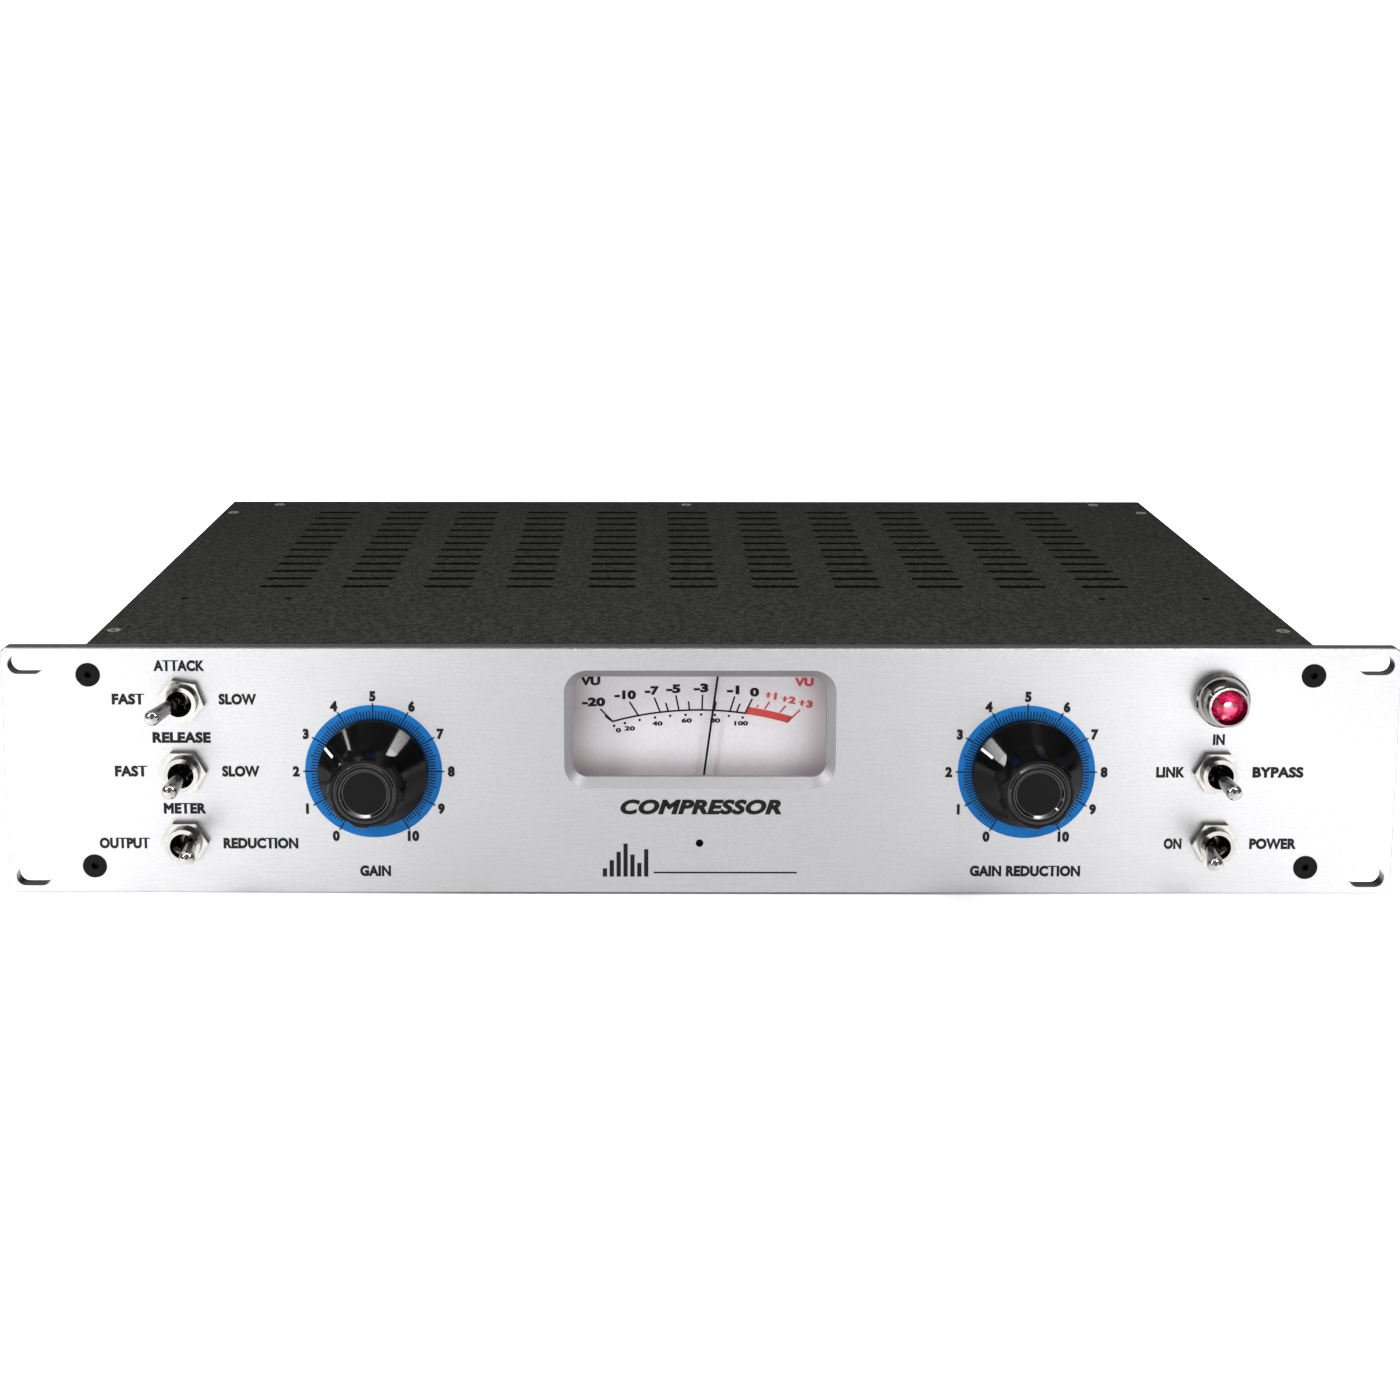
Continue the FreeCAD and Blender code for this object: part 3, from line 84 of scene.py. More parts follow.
# ---------------------------------------------------------------- camera

# The place, the lens and the sensor in millimetres, the turns down and to the left in degrees, and
# the shift in widths of the sensor.
CAMERA_AT = (-17.7, -644.0, 229.5)
CAMERA_DOWN = 7.32
CAMERA_LEFT = 0.18
CAMERA_LENS = 49.2
CAMERA_SHIFT = (0.0407, -0.25)
SENSOR_WIDE = 36


def make_camera():
    """The camera in front of the panel and a little above it, with a small shift."""
    data = bpy.data.cameras.new("camera")
    data.lens = CAMERA_LENS
    data.sensor_width = SENSOR_WIDE
    data.shift_x, data.shift_y = CAMERA_SHIFT
    camera = bpy.data.objects.new("camera", data)
    camera.location = Vector(CAMERA_AT) * MM
    camera.rotation_euler = (math.radians(90 - CAMERA_DOWN), 0, math.radians(CAMERA_LEFT))
    bpy.context.collection.objects.link(camera)
    bpy.context.scene.camera = camera


make_camera()


# ---------------------------------------------------------------- shader nodes

WHITE = (1.0, 1.0, 1.0)
# The sockets of a Mix node that is set to colours.
MIX_FACTOR = 0
MIX_FIRST = 6
MIX_SECOND = 7
MIX_RESULT = 2


def add_node(tree, kind, output, inputs, **settings):
    """A new shader node's output; each of its inputs takes a plain value or another output."""
    node = tree.nodes.new("ShaderNode" + kind)
    for name, value in settings.items():
        setattr(node, name, value)
    for socket, value in inputs.items():
        if isinstance(value, bpy.types.NodeSocket):
            tree.links.new(value, node.inputs[socket])
        else:
            node.inputs[socket].default_value = value
    return node.outputs[output]


def add_ramp(tree, factor, stops):
    """A colour ramp over the factor; stops are (position, colour)."""
    ramp = tree.nodes.new("ShaderNodeValToRGB")
    elements = ramp.color_ramp.elements
    while len(elements) < len(stops):
        elements.new(0.5)
    for element, (position, colour) in zip(elements, stops):
        element.position = position
        element.color = (*colour, 1)
    tree.links.new(factor, ramp.inputs["Fac"])
    return ramp.outputs["Color"]


def add_mix(tree, factor, first, second, blend="MIX"):
    """Two colours mixed by a factor; any of the three may be a plain value."""
    inputs = {MIX_FACTOR: factor, MIX_FIRST: first, MIX_SECOND: second}
    return add_node(tree, "Mix", MIX_RESULT, inputs, data_type="RGBA", blend_type=blend)


class Nodes:
    """A material under construction, with short names for the nodes that recur."""

    def __init__(self, name):
        self.material = bpy.data.materials.new(name)
        self.material.use_nodes = True
        self.tree = self.material.node_tree
        self.shader = self.tree.nodes["Principled BSDF"]
        self.where = self.add("TexCoord", "Object", {})

    def add(self, kind, output, inputs, **settings):
        return add_node(self.tree, kind, output, inputs, **settings)

    def set(self, **values):
        """Uniform values on the shader's own sockets; underscores stand for spaces."""
        for name, value in values.items():
            self.shader.inputs[name.replace("_", " ")].default_value = value

    def link(self, output, name):
        self.tree.links.new(output, self.shader.inputs[name])

    def stretch(self, scale):
        return self.add("Mapping", "Vector", {"Vector": self.where, "Scale": scale})

    def noise(self, scale, stretch=(1, 1, 1), detail=4, rough=0.55):
        """Noise with scale in cycles per metre, run out along an axis by stretch."""
        return self.add("TexNoise", "Fac", {"Vector": self.stretch(stretch), "Scale": scale,
                                            "Detail": detail, "Roughness": rough})

    def cells(self, scale):
        """Distance to the nearest cell centre, for pimpled surfaces."""
        return self.add("TexVoronoi", "Distance", {"Vector": self.stretch((1, 1, 1)), "Scale": scale})

    def ramp(self, factor, stops):
        return add_ramp(self.tree, factor, stops)

    def tones(self, factor, low, high):
        """Two colours over the factor's middle range."""
        return self.ramp(factor, [(0.3, low), (0.7, high)])

    def tint(self, factor, colour):
        """White where the factor is 0, running to a colour where it is 1."""
        return self.ramp(factor, [(0.0, WHITE), (1.0, colour)])

    def mix(self, factor, first, second, blend="MIX"):
        return add_mix(self.tree, factor, first, second, blend)

    def times(self, first, second):
        """Two colours multiplied."""
        return self.mix(1.0, first, second, "MULTIPLY")

    def span(self, value, start, end, low=0.0, high=1.0, curve="LINEAR"):
        """The value's run from start to end turned into a run from low to high."""
        inputs = {"Value": value, "From Min": start, "From Max": end, "To Min": low, "To Max": high}
        return self.add("MapRange", "Result", inputs, interpolation_type=curve)

    def spread(self, factor, low, high):
        """The factor's middle range spread from low to high."""
        return self.span(factor, 0.3, 0.7, low, high)

    def fade(self, value, start, end):
        """Rises smoothly from 0 to 1 as the value goes from start to end."""
        return self.span(value, start, end, curve="SMOOTHSTEP")

    def minus(self, value, amount, clamp=False):
        """The value less an amount, held between 0 and 1 if clamped."""
        return self.add("Math", "Value", {0: value, 1: amount}, operation="SUBTRACT", use_clamp=clamp)

    def away(self, axis, middle):
        """Distance from a plane across one axis, in metres."""
        place = self.add("SeparateXYZ", axis, {0: self.where})
        return self.add("Math", "Value", {0: self.minus(place, middle)}, operation="ABSOLUTE")

    def length(self, across, up):
        """How long a line is that runs this far across and up."""
        pair = self.add("CombineXYZ", "Vector", {"X": across, "Z": up})
        return self.add("VectorMath", "Value", {0: pair}, operation="LENGTH")

    def past_window(self):
        """Distance outside the meter window's rounded outline; below 0 inside it."""
        half = (WINDOW_Z[1] - WINDOW_Z[0]) / 2
        middle = (WINDOW_Z[0] + WINDOW_Z[1]) / 2
        beside = self.minus(self.away("X", 0), WINDOW_WIDE / 2 - WINDOW_CORNER, clamp=True)
        above = self.minus(self.away("Z", middle), half - WINDOW_CORNER, clamp=True)
        return self.minus(self.length(beside, above), WINDOW_CORNER)

    def off_axis(self, x):
        """Distance from a knob's axis, which runs front to back at x on either side."""
        return self.length(self.minus(self.away("X", 0), x), self.away("Z", 0))

    def bump(self, height, strength, distance):
        """Relief that follows a height, with its distance in millimetres."""
        inputs = {"Height": height, "Strength": strength, "Distance": distance * MM}
        self.link(self.add("Bump", "Normal", inputs), "Normal")


# ---------------------------------------------------------------- materials

# Where painted shade starts and where it is full. The first two are distances in front of the
# panel's back, the third under the covers' skin and the fourth past the window's bevel.
EDGE_SHADE = (4.75 * MM, 4.66 * MM)
NUT_SHADE = (7.15 * MM, 6.95 * MM)
VENT_SHADE = (0.1 * MM, 0.25 * MM)
BEVEL_SHADE = (0.35 * MM, 0.1 * MM)
# The dial's painted shade: from the middle, in window widths, and down from the window's top.
DIAL_SHADE_ASIDE = (0.36, 0.51)
DIAL_SHADE_DOWN = (27 * MM, 38 * MM)
# The floor's glow starts to rise and is full at these distances: to either side of the middle, and
# from a line across the floor in front of the panel.
GLOW_ASIDE = (40 * MM, 290 * MM)
GLOW_LINE = -220 * MM
GLOW_BEYOND = (220 * MM, 420 * MM)
KNOB_X = centre_of("reduction_knob")[0]
# The weight of a knob's clear coat at distances from its axis, and the span that holds them all, in
# millimetres.
COAT_SPAN = (7, 14)
COAT_RINGS = ((7.3, 0.0), (7.5, 0.6), (8.5, 0.6), (8.7, 0.0), (9.4, 0.0), (9.6, 0.45), (10.4, 0.45),
              (10.6, 0.0), (11.2, 0.0), (11.5, 0.04), (13.0, 0.04), (13.3, 0.0))


def shade(colour, factor):
    """A colour made darker or lighter."""
    return tuple(channel * factor for channel in colour)


def plain(name, colour, rough, metallic=0.0, scale=900, stretch=(1, 1, 1), vary=0.12, relief=0.1,
          **values):
    """A surface with fine mottling in its colour, its roughness and its relief."""
    made = Nodes(name)
    fine = made.noise(scale, stretch)
    broad = made.noise(scale / 14, stretch, detail=3)
    tone = made.ramp(broad, [(0.25, shade(colour, 1 - vary)), (0.75, shade(colour, 1 + vary))])
    speck = made.tones(fine, shade(WHITE, 1 - vary), WHITE)
    made.link(made.times(tone, speck), "Base Color")
    made.link(made.spread(fine, *rough), "Roughness")
    made.set(Metallic=metallic, **values)
    made.bump(fine, 0.5, relief)
    return made.material


def metal(name, colour, rough, **options):
    """A plain surface that is metal all over."""
    return plain(name, colour, rough, metallic=1.0, **options)


def brushed_aluminium():
    """Clear-anodised plate, finely grained; its milled window bevel is rougher, and painted shade darkens
    its edges and the bevel.
    """
    made = Nodes("panel_aluminium")
    grain = made.noise(5200, (0.02, 1, 1), detail=5, rough=0.7)
    speck = made.noise(1700, (0.35, 1, 1), detail=2, rough=0.7)
    cloud = made.noise(9, detail=3)
    base = made.tones(grain, (0.41, 0.41, 0.417), (0.49, 0.49, 0.497))
    dust = made.ramp(speck, [(0.3, (0.9, 0.9, 0.905)), (0.65, WHITE)])
    haze = made.tones(cloud, (0.97, 0.97, 0.975), WHITE)
    # Painted shade: the panel's edges and the milled window bevel are drawn darker.
    edge = made.fade(made.away("Y", PANEL_BACK), *EDGE_SHADE)
    window = made.fade(made.past_window(), BEVEL + BEVEL_SHADE[0], BEVEL + BEVEL_SHADE[1])
    painted_shade = made.mix(window, made.tint(edge, (0.26, 0.25, 0.26)), (0.68, 0.67, 0.68, 1))
    rough = made.mix(window, made.spread(grain, 0.32, 0.44), made.spread(grain, 0.5, 0.62))
    made.link(made.times(made.times(made.times(base, dust), haze), painted_shade), "Base Color")
    made.link(rough, "Roughness")
    made.set(Metallic=0.9, Coat_Weight=0.05, Coat_Roughness=0.4)
    made.bump(grain, 0.3, 0.04)
    return made.material


def black_powder(name="black_powder", skin=None):
    """Black powder coat: fine pimples and specks, almost no sheen; with a skin given, painted shade
    darkens all that lies under it, such as the walls of the vents.
    """
    made = Nodes(name)
    pimples = made.cells(900)
    specks = made.noise(520, detail=5, rough=0.85)
    broad = made.noise(30, detail=2)
    tone = made.tones(broad, (0.0095, 0.0095, 0.0087), (0.012, 0.012, 0.0112))
    fleck = made.ramp(specks, [(0.42, (0.001, 0.001, 0.001)), (0.6, (0.054, 0.053, 0.05))])
    coat = made.mix(0.45, tone, fleck)
    # Painted shade: below the given skin, as on the vents' walls, the coat is drawn nearly black.
    if skin:
        inside = made.fade(made.away("Z", 0), skin - VENT_SHADE[0], skin - VENT_SHADE[1])
        coat = made.times(coat, made.tint(inside, (0.06, 0.06, 0.06)))
    made.link(coat, "Base Color")
    made.link(made.spread(specks, 0.6, 0.85), "Roughness")
    made.set(Specular_IOR_Level=0.08)
    made.bump(pimples, 0.6, 0.12)
    return made.material


def cut_nickel():
    """Nickel-plated nuts, with painted shade on their flats behind the bright front faces."""
    made = Nodes("nut_nickel")
    stain = made.noise(420, detail=3)
    tone = made.tones(stain, (0.3, 0.29, 0.275), (0.42, 0.405, 0.385))
    # Painted shade on the flats, behind the front faces.
    flat = made.fade(made.away("Y", PANEL_BACK), *NUT_SHADE)
    made.link(made.times(tone, made.tint(flat, (0.3, 0.29, 0.28))), "Base Color")
    made.link(made.spread(stain, 0.1, 0.22), "Roughness")
    made.set(Metallic=1.0)
    made.bump(stain, 0.05, 0.05)
    return made.material


def bakelite():
    """Glossy black moulding with a faint flow pattern; rings of clear coat run round a knob's axis."""
    made = Nodes("bakelite")
    near, far = COAT_SPAN
    radius = made.span(made.off_axis(KNOB_X), near * MM, far * MM)
    shine = [((reach - near) / (far - near), (level, level, level)) for reach, level in COAT_RINGS]
    flow = made.noise(140, detail=5)
    rub = made.noise(1800, (1, 0.1, 1))
    made.link(made.ramp(radius, shine), "Coat Weight")
    made.link(made.tones(flow, (0.0008, 0.0008, 0.0008), (0.002, 0.0019, 0.0018)), "Base Color")
    made.link(made.spread(rub, 0.07, 0.14), "Roughness")
    made.set(Specular_IOR_Level=0.1, Coat_Roughness=0.1, Coat_IOR=1.8)
    made.bump(flow, 0.08, 0.05)
    return made.material


def red_glass():
    """Deep red glass glowing with a lit core; its random light and dark mottle is painted light that
    stands in for facets catching the core unevenly.
    """
    made = Nodes("red_jewel")
    depth = made.noise(420, detail=2, rough=0.7)
    # Painted light: the random mottle in colour and glow stands in for facets catching the light.
    tone = made.ramp(depth, [(0.36, (0.13, 0.0, 0.012)), (0.5, (0.46, 0.002, 0.05)),
                             (0.64, (0.8, 0.03, 0.16))])
    made.link(tone, "Base Color")
    made.link(tone, "Emission Color")
    made.link(made.spread(depth, 0.03, 0.08), "Roughness")
    made.set(Emission_Strength=0.33, Coat_Weight=0.25, Coat_Roughness=0.03, IOR=1.5,
             Specular_IOR_Level=0.35)
    return made.material


def lens_acrylic():
    """Clear acrylic: nearly all light passes, with a trace of fingerprints in the gloss."""
    made = Nodes("meter_lens")
    smear = made.noise(60, detail=4)
    made.link(made.tones(smear, (0.02, 0.021, 0.021), (0.035, 0.035, 0.035)), "Base Color")
    made.link(made.spread(smear, 0.01, 0.05), "Roughness")
    made.set(Alpha=0.04, IOR=1.49, Specular_IOR_Level=0.3)
    made.material.surface_render_method = "BLENDED"
    return made.material


def lit_dial():
    """White dial paint, faintly lit from behind, with painted shade towards the window's sides and foot.
    """
    made = Nodes("dial_white")
    grain = made.noise(1200)
    aside = made.fade(made.away("X", 0), *(part * WINDOW_WIDE for part in DIAL_SHADE_ASIDE))
    down = made.fade(made.away("Z", WINDOW_Z[1]), *DIAL_SHADE_DOWN)
    painted_shades = made.times(made.tint(aside, (0.86, 0.81, 0.79)), made.tint(down, (0.9, 0.85, 0.85)))
    tone = made.times(painted_shades, made.tones(grain, (0.6, 0.575, 0.6), (0.66, 0.635, 0.66)))
    made.link(tone, "Base Color")
    made.link(tone, "Emission Color")
    made.link(made.spread(grain, 0.55, 0.7), "Roughness")
    made.set(Emission_Strength=0.12, Specular_IOR_Level=0.2)
    return made.material


def lit_floor():
    """Matt white paper that glows all over, least in a soft patch before the panel's middle."""
    made = Nodes("floor")
    fibre = made.noise(40)
    aside = made.fade(made.away("X", 0), *GLOW_ASIDE)
    beyond = made.fade(made.away("Y", GLOW_LINE), *GLOW_BEYOND)
    glow = made.mix(1.0, made.ramp(aside, [(0.0, (0.05, 0.05, 0.05)), (1.0, WHITE)]),
                    made.ramp(beyond, [(0.0, (0.0, 0.0, 0.0)), (1.0, WHITE)]), "LIGHTEN")
    made.link(made.tones(fibre, (0.8, 0.8, 0.8), (0.82, 0.82, 0.82)), "Base Color")
    made.link(glow, "Emission Color")
    made.link(made.spread(fibre, 0.6, 0.8), "Roughness")
    made.set(Emission_Strength=1.6)
    made.bump(fibre, 0.05, 0.1)
    return made.material


def tube_glass():
    """Thin clear glass with a silvery, uneven haze."""
    made = Nodes("tube_glass")
    haze = made.noise(200, detail=3)
    made.link(made.tones(haze, (0.7, 0.72, 0.74), (0.95, 0.96, 0.96)), "Base Color")
    made.link(made.spread(haze, 0.03, 0.12), "Roughness")
    made.set(Alpha=0.35, IOR=1.45)
    made.material.surface_render_method = "BLENDED"
    return made.material


MATERIALS = {
    "panel_aluminium": brushed_aluminium(),
    "black_powder": black_powder(),
    "cover_powder": black_powder("cover_powder", COVER_SKIN),
    "nut_nickel": cut_nickel(),
    "bakelite": bakelite(),
    "red_jewel": red_glass(),
    "meter_lens": lens_acrylic(),
    "dial_white": lit_dial(),
    "tube_glass": tube_glass(),
    "rail_aluminium": plain("rail_aluminium", (0.014, 0.014, 0.014), (0.45, 0.6),
                            stretch=(1, 0.02, 1), relief=0.03, Specular_IOR_Level=0.15),
    "black_screws": plain("black_screws", (0.003, 0.003, 0.003), (0.35, 0.5), relief=0.03,
                          Specular_IOR_Level=0.06),
    "zinc_screws": metal("zinc_screws", (0.6, 0.6, 0.58), (0.25, 0.42), relief=0.03),
    "nickel": metal("nickel", (0.36, 0.35, 0.34), (0.06, 0.15), scale=600, relief=0.015),
    "bezel_chrome": metal("bezel_chrome", (0.2, 0.195, 0.185), (0.04, 0.1), relief=0.01),
    "needle_black": plain("needle_black", (0.004, 0.004, 0.004), (0.5, 0.65), relief=0.02,
                          Specular_IOR_Level=0.12),
    "black_plastic": plain("black_plastic", (0.02, 0.02, 0.021), (0.35, 0.5), scale=1600, relief=0.08),
    "switch_red": plain("switch_red", (0.42, 0.03, 0.02), (0.35, 0.5)),
    "steel_inner": metal("steel_inner", (0.5, 0.5, 0.49), (0.3, 0.5), stretch=(1, 1, 0.1)),
    "bulb_glass": plain("bulb_glass", (0.9, 0.78, 0.5), (0.1, 0.2), relief=0.01),
    "contact_brass": metal("contact_brass", (0.83, 0.62, 0.25), (0.15, 0.3), relief=0.02),
    "toroid_wrap": plain("toroid_wrap", (0.3, 0.2, 0.05), (0.25, 0.45), scale=500, vary=0.25, relief=0.2),
    "board_green": plain("board_green", (0.02, 0.16, 0.06), (0.3, 0.45), scale=2200, relief=0.05),
    "socket_cream": plain("socket_cream", (0.72, 0.68, 0.58), (0.4, 0.6)),
    "capacitor_sleeve": plain("capacitor_sleeve", (0.03, 0.05, 0.2), (0.2, 0.35), stretch=(1, 1, 0.2)),
    "dial_blue": plain("dial_blue", (0.0015, 0.12, 0.375), (0.45, 0.6), scale=2600, stretch=(0.02, 1, 1),
                       vary=0.14, relief=0.02, Specular_IOR_Level=0.12),
    "ink_black": plain("ink_black", (0.006, 0.006, 0.006), (0.5, 0.65), scale=2500, relief=0.01,
                       Specular_IOR_Level=0.15),
    "ink_red": plain("ink_red", (0.6, 0.04, 0.035), (0.5, 0.65), scale=2500, relief=0.01),
    "ink_white": plain("ink_white", (0.85, 0.85, 0.83), (0.4, 0.55), scale=2500, relief=0.01),
    "floor": lit_floor(),
}

# Nodes with a material of their own instead of the one of their slot.
FINISH_OF = {"top_cover": "cover_powder", "bottom_cover": "cover_powder", "panel_nuts": "nut_nickel"}

# How much the edges of each of these nodes are rounded, in millimetres.
ROUNDED = {"front_panel": 0.4, "gain_knob": 0.5, "reduction_knob": 0.5, "lamp_bezel": 0.2,
           "panel_nuts": 0.3, "side_rail_left": 0.3, "side_rail_right": 0.3,
           "mains_inlet": 0.4, "xlr_input": 0.4, "xlr_output": 0.4, "fuse_cap": 0.25}

# Edges that turn by more than this are rounded.
SHARP_EDGE = math.radians(35)


def dress_cad_nodes():
    """Give every CAD node its material, and round the edges of some."""
    for name, node in NODES.items():
        node.data.materials.clear()
        node.data.materials.append(MATERIALS[FINISH_OF.get(name, SLOT_OF[name])])
        if name in ROUNDED:
            bevel = node.modifiers.new("soft_edges", "BEVEL")
            bevel.width = ROUNDED[name] * MM
            bevel.segments = 2
            bevel.limit_method = "ANGLE"
            bevel.angle_limit = SHARP_EDGE
            bevel.harden_normals = True


dress_cad_nodes()


# ---------------------------------------------------------------- printed markings

# How thick printed ink is.
INK = 0.03 * MM
# The built-in typeface: its capitals' height at size 1, and how wide its letters are drawn for their
# height where no width is given.
CAPITAL_HEIGHT = 0.682
LETTER_WIDTH = 0.94
# A sharp corner of a letter moves out by at most its border's width divided by this.
BLUNTEST = 0.62


class Print:
    """Flat ink shapes on a plane that faces the front, or the back with facing = 1."""

    def __init__(self, name, material, y, facing=-1):
        self.name = name
        self.material = material
        self.y = y
        self.facing = facing
        self.mesh = bmesh.new()

    def shape(self, points):
        """A filled outline of (x, z) points in metres, as a thin closed solid."""
        back = [self.mesh.verts.new((x, self.y, z)) for x, z in points]
        front = [self.mesh.verts.new((x, self.y + self.facing * INK, z)) for x, z in points]
        self.mesh.faces.new(back)
        self.mesh.faces.new(front[::-1])
        for index in range(len(points)):
            following = (index + 1) % len(points)
            self.mesh.faces.new((back[index], front[index], front[following], back[following]))

    def bar(self, start, end, width):
        """A straight stroke between two (x, z) points."""
        along = Vector((end[0] - start[0], end[1] - start[1])).normalized()
        side = Vector((-along.y, along.x)) * width / 2
        corners = [(start[0] - side.x, start[1] - side.y), (end[0] - side.x, end[1] - side.y),
                   (end[0] + side.x, end[1] + side.y), (start[0] + side.x, start[1] + side.y)]
        self.shape(corners)

    def ring(self, centre, inner, outer, start=0, end=360, steps=120):
        """A ring, or a stretch of one, with angles in degrees clockwise from the top."""
        count = max(2, int(steps * (end - start) / 360))
        for step in range(count):
            angles = [start + (end - start) * (step + part) / count for part in (0, 1)]
            self.shape([around(centre, inner, angles[0]), around(centre, inner, angles[1]),
                        around(centre, outer, angles[1]), around(centre, outer, angles[0])])

    def disc(self, centre, radius, steps=32):
        self.shape([around(centre, radius, 360 * step / steps) for step in range(steps)])

    def words(self, text, centre, height, width=None, bold=0.02, slant=0.0, turn=0.0):
        """Text with its capitals' height and, if given, its whole width set; turn is in degrees."""
        letters = flat_letters(text, bold, slant)
        across = [vertex.co.x for vertex in letters.verts]
        upright = [vertex.co.y for vertex in letters.verts]
        tall = height / CAPITAL_HEIGHT
        wide = width / (max(across) - min(across)) if width else tall * LETTER_WIDTH
        middle = ((max(across) + min(across)) / 2, (max(upright) + min(upright)) / 2)
        lean = Matrix.Rotation(math.radians(-turn), 2)
        for vertex in letters.verts:
            x, z = lean @ Vector(((vertex.co.x - middle[0]) * wide, (vertex.co.y - middle[1]) * tall))
            vertex.co = (centre[0] - self.facing * x, self.y, centre[1] + z)
        grown = bmesh.ops.extrude_face_region(letters, geom=letters.faces[:])["geom"]
        for vertex in grown:
            if isinstance(vertex, bmesh.types.BMVert):
                vertex.co.y += self.facing * INK
        mesh = bpy.data.meshes.new("words")
        letters.to_mesh(mesh)
        letters.free()
        self.mesh.from_mesh(mesh)
        bpy.data.meshes.remove(mesh)

    def done(self, body):
        """Turn the shapes into one piece that rides on a body."""
        bmesh.ops.recalc_face_normals(self.mesh, faces=self.mesh.faces)
        return add_piece(self.name, self.mesh, self.material, body)


def flat_letters(text, bold, slant):
    """Filled letters one layer thick, their strokes made bolder on every side."""
    curve = bpy.data.curves.new("letters", "FONT")
    curve.body = text
    curve.shear = slant
    curve.space_character = 1.06
    curve.resolution_u = 4
    holder = bpy.data.objects.new("letters", curve)
    bpy.context.collection.objects.link(holder)
    bpy.context.view_layer.update()
    mesh = bpy.data.meshes.new_from_object(holder)
    letters = bmesh.new()
    letters.from_mesh(mesh)
    bpy.data.objects.remove(holder)
    bpy.data.meshes.remove(mesh)
    bmesh.ops.remove_doubles(letters, verts=letters.verts, dist=1e-5)
    moves = [(vertex, outward(vertex) * bold) for vertex in letters.verts]
    for vertex, move in moves:
        vertex.co += move
    return letters


def outward(vertex):
    """How a unit-wide border moves a point of an outline, with sharp corners held back."""
    normals = []
    for edge in vertex.link_edges:
        if edge.is_boundary:
            along = (edge.verts[1].co - edge.verts[0].co).normalized()
            normal = Vector((-along.y, along.x, 0))
            inside = edge.link_faces[0].calc_center_median() - edge.verts[0].co
            normals.append(-normal if normal.dot(inside) > 0 else normal)
    if len(normals) != 2 or (normals[0] + normals[1]).length < 1e-3:
        return Vector()
    middle = (normals[0] + normals[1]).normalized()
    return middle / max(middle.dot(normals[0]), BLUNTEST)


def around(centre, radius, angle):
    """The point at an angle clockwise from the top of a circle."""
    turn = math.radians(angle)
    return centre[0] + radius * math.sin(turn), centre[1] + radius * math.cos(turn)


def add_piece(name, shape, material, body):
    mesh = bpy.data.meshes.new(name)
    shape.to_mesh(mesh)
    shape.free()
    piece = bpy.data.objects.new(name, mesh)
    mesh.materials.append(MATERIALS[material])
    bpy.context.collection.objects.link(piece)
    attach(piece, body)
    return piece


DIAL_HOLE = 5 * MM
DIAL_RADIUS = 23.8 * MM
# The angles of the dial's 0 and of one graduation, clockwise from the top in degrees.
DIAL_START = -150
DIAL_STEP = 3
STEPS_PER_NUMBER = 10
DIAL_TOP = 10
# Graduations by how many steps they come at: outer end and width in millimetres.
DIAL_MARKS = {10: (24.5, 0.5), 5: (22.5, 0.42), 1: (21.7, 0.42)}
MARK_FOOT = 17.6 * MM
NUMBER_RADIUS = 26.9 * MM
NUMBER_TALL = 3.1 * MM


def make_dial(side, knob):
    """The blue printed disc with its graduations and the numbers round it."""
    centre = (centre_of(knob)[0], 0)
    disc = Print(f"{side}_dial_disc", "dial_blue", FACE_Y)
    disc.ring(centre, DIAL_HOLE, DIAL_RADIUS)
    disc.done("chassis")
    marks = Print(f"{side}_dial_marks", "ink_black", FACE_Y - INK)
    for step in range(DIAL_TOP * STEPS_PER_NUMBER + 1):
        angle = DIAL_START + DIAL_STEP * step
        reach, wide = next(size for every, size in DIAL_MARKS.items() if step % every == 0)
        marks.bar(around(centre, MARK_FOOT, angle), around(centre, reach * MM, angle), wide * MM)
    for number in range(DIAL_TOP + 1):
        place = around(centre, NUMBER_RADIUS, DIAL_START + STEPS_PER_NUMBER * DIAL_STEP * number)
        marks.words(str(number), place, NUMBER_TALL, bold=0.07)
    marks.done("chassis")


LEGENDS = [
    # words, centre x, centre z and width in millimetres
    ("ATTACK", -179.6, 37.7, 17.6), ("FAST", -197.5, 25.8, 11.3), ("SLOW", -159.7, 25.8, 13.1),
    ("RELEASE", -179.4, 12.1, 20.2), ("FAST", -197.3, 0.0, 11.3), ("SLOW", -159.2, 0.0, 13.1),
    ("METER", -179.0, -13.4, 14.8), ("OUTPUT", -200.4, -26.0, 17.6), ("REDUCTION", -152.9, -26.0, 26.1),
    ("GAIN", -113.1, -36.0, 10.8), ("GAIN REDUCTION", 113.5, -35.8, 38.5), ("IN", 179.3, 11.7, 4.1),
    ("LINK", 163.0, 0.0, 9.9), ("BYPASS", 200.2, 0.0, 17.7), ("ON", 164.6, -25.8, 6.2),
    ("POWER", 199.4, -25.8, 16.3),
]
LEGEND_TALL = 3.3 * MM
TITLE_AT = (0.4 * MM, -12.7 * MM)
TITLE_TALL = 4.6 * MM
TITLE_WIDE = 56 * MM
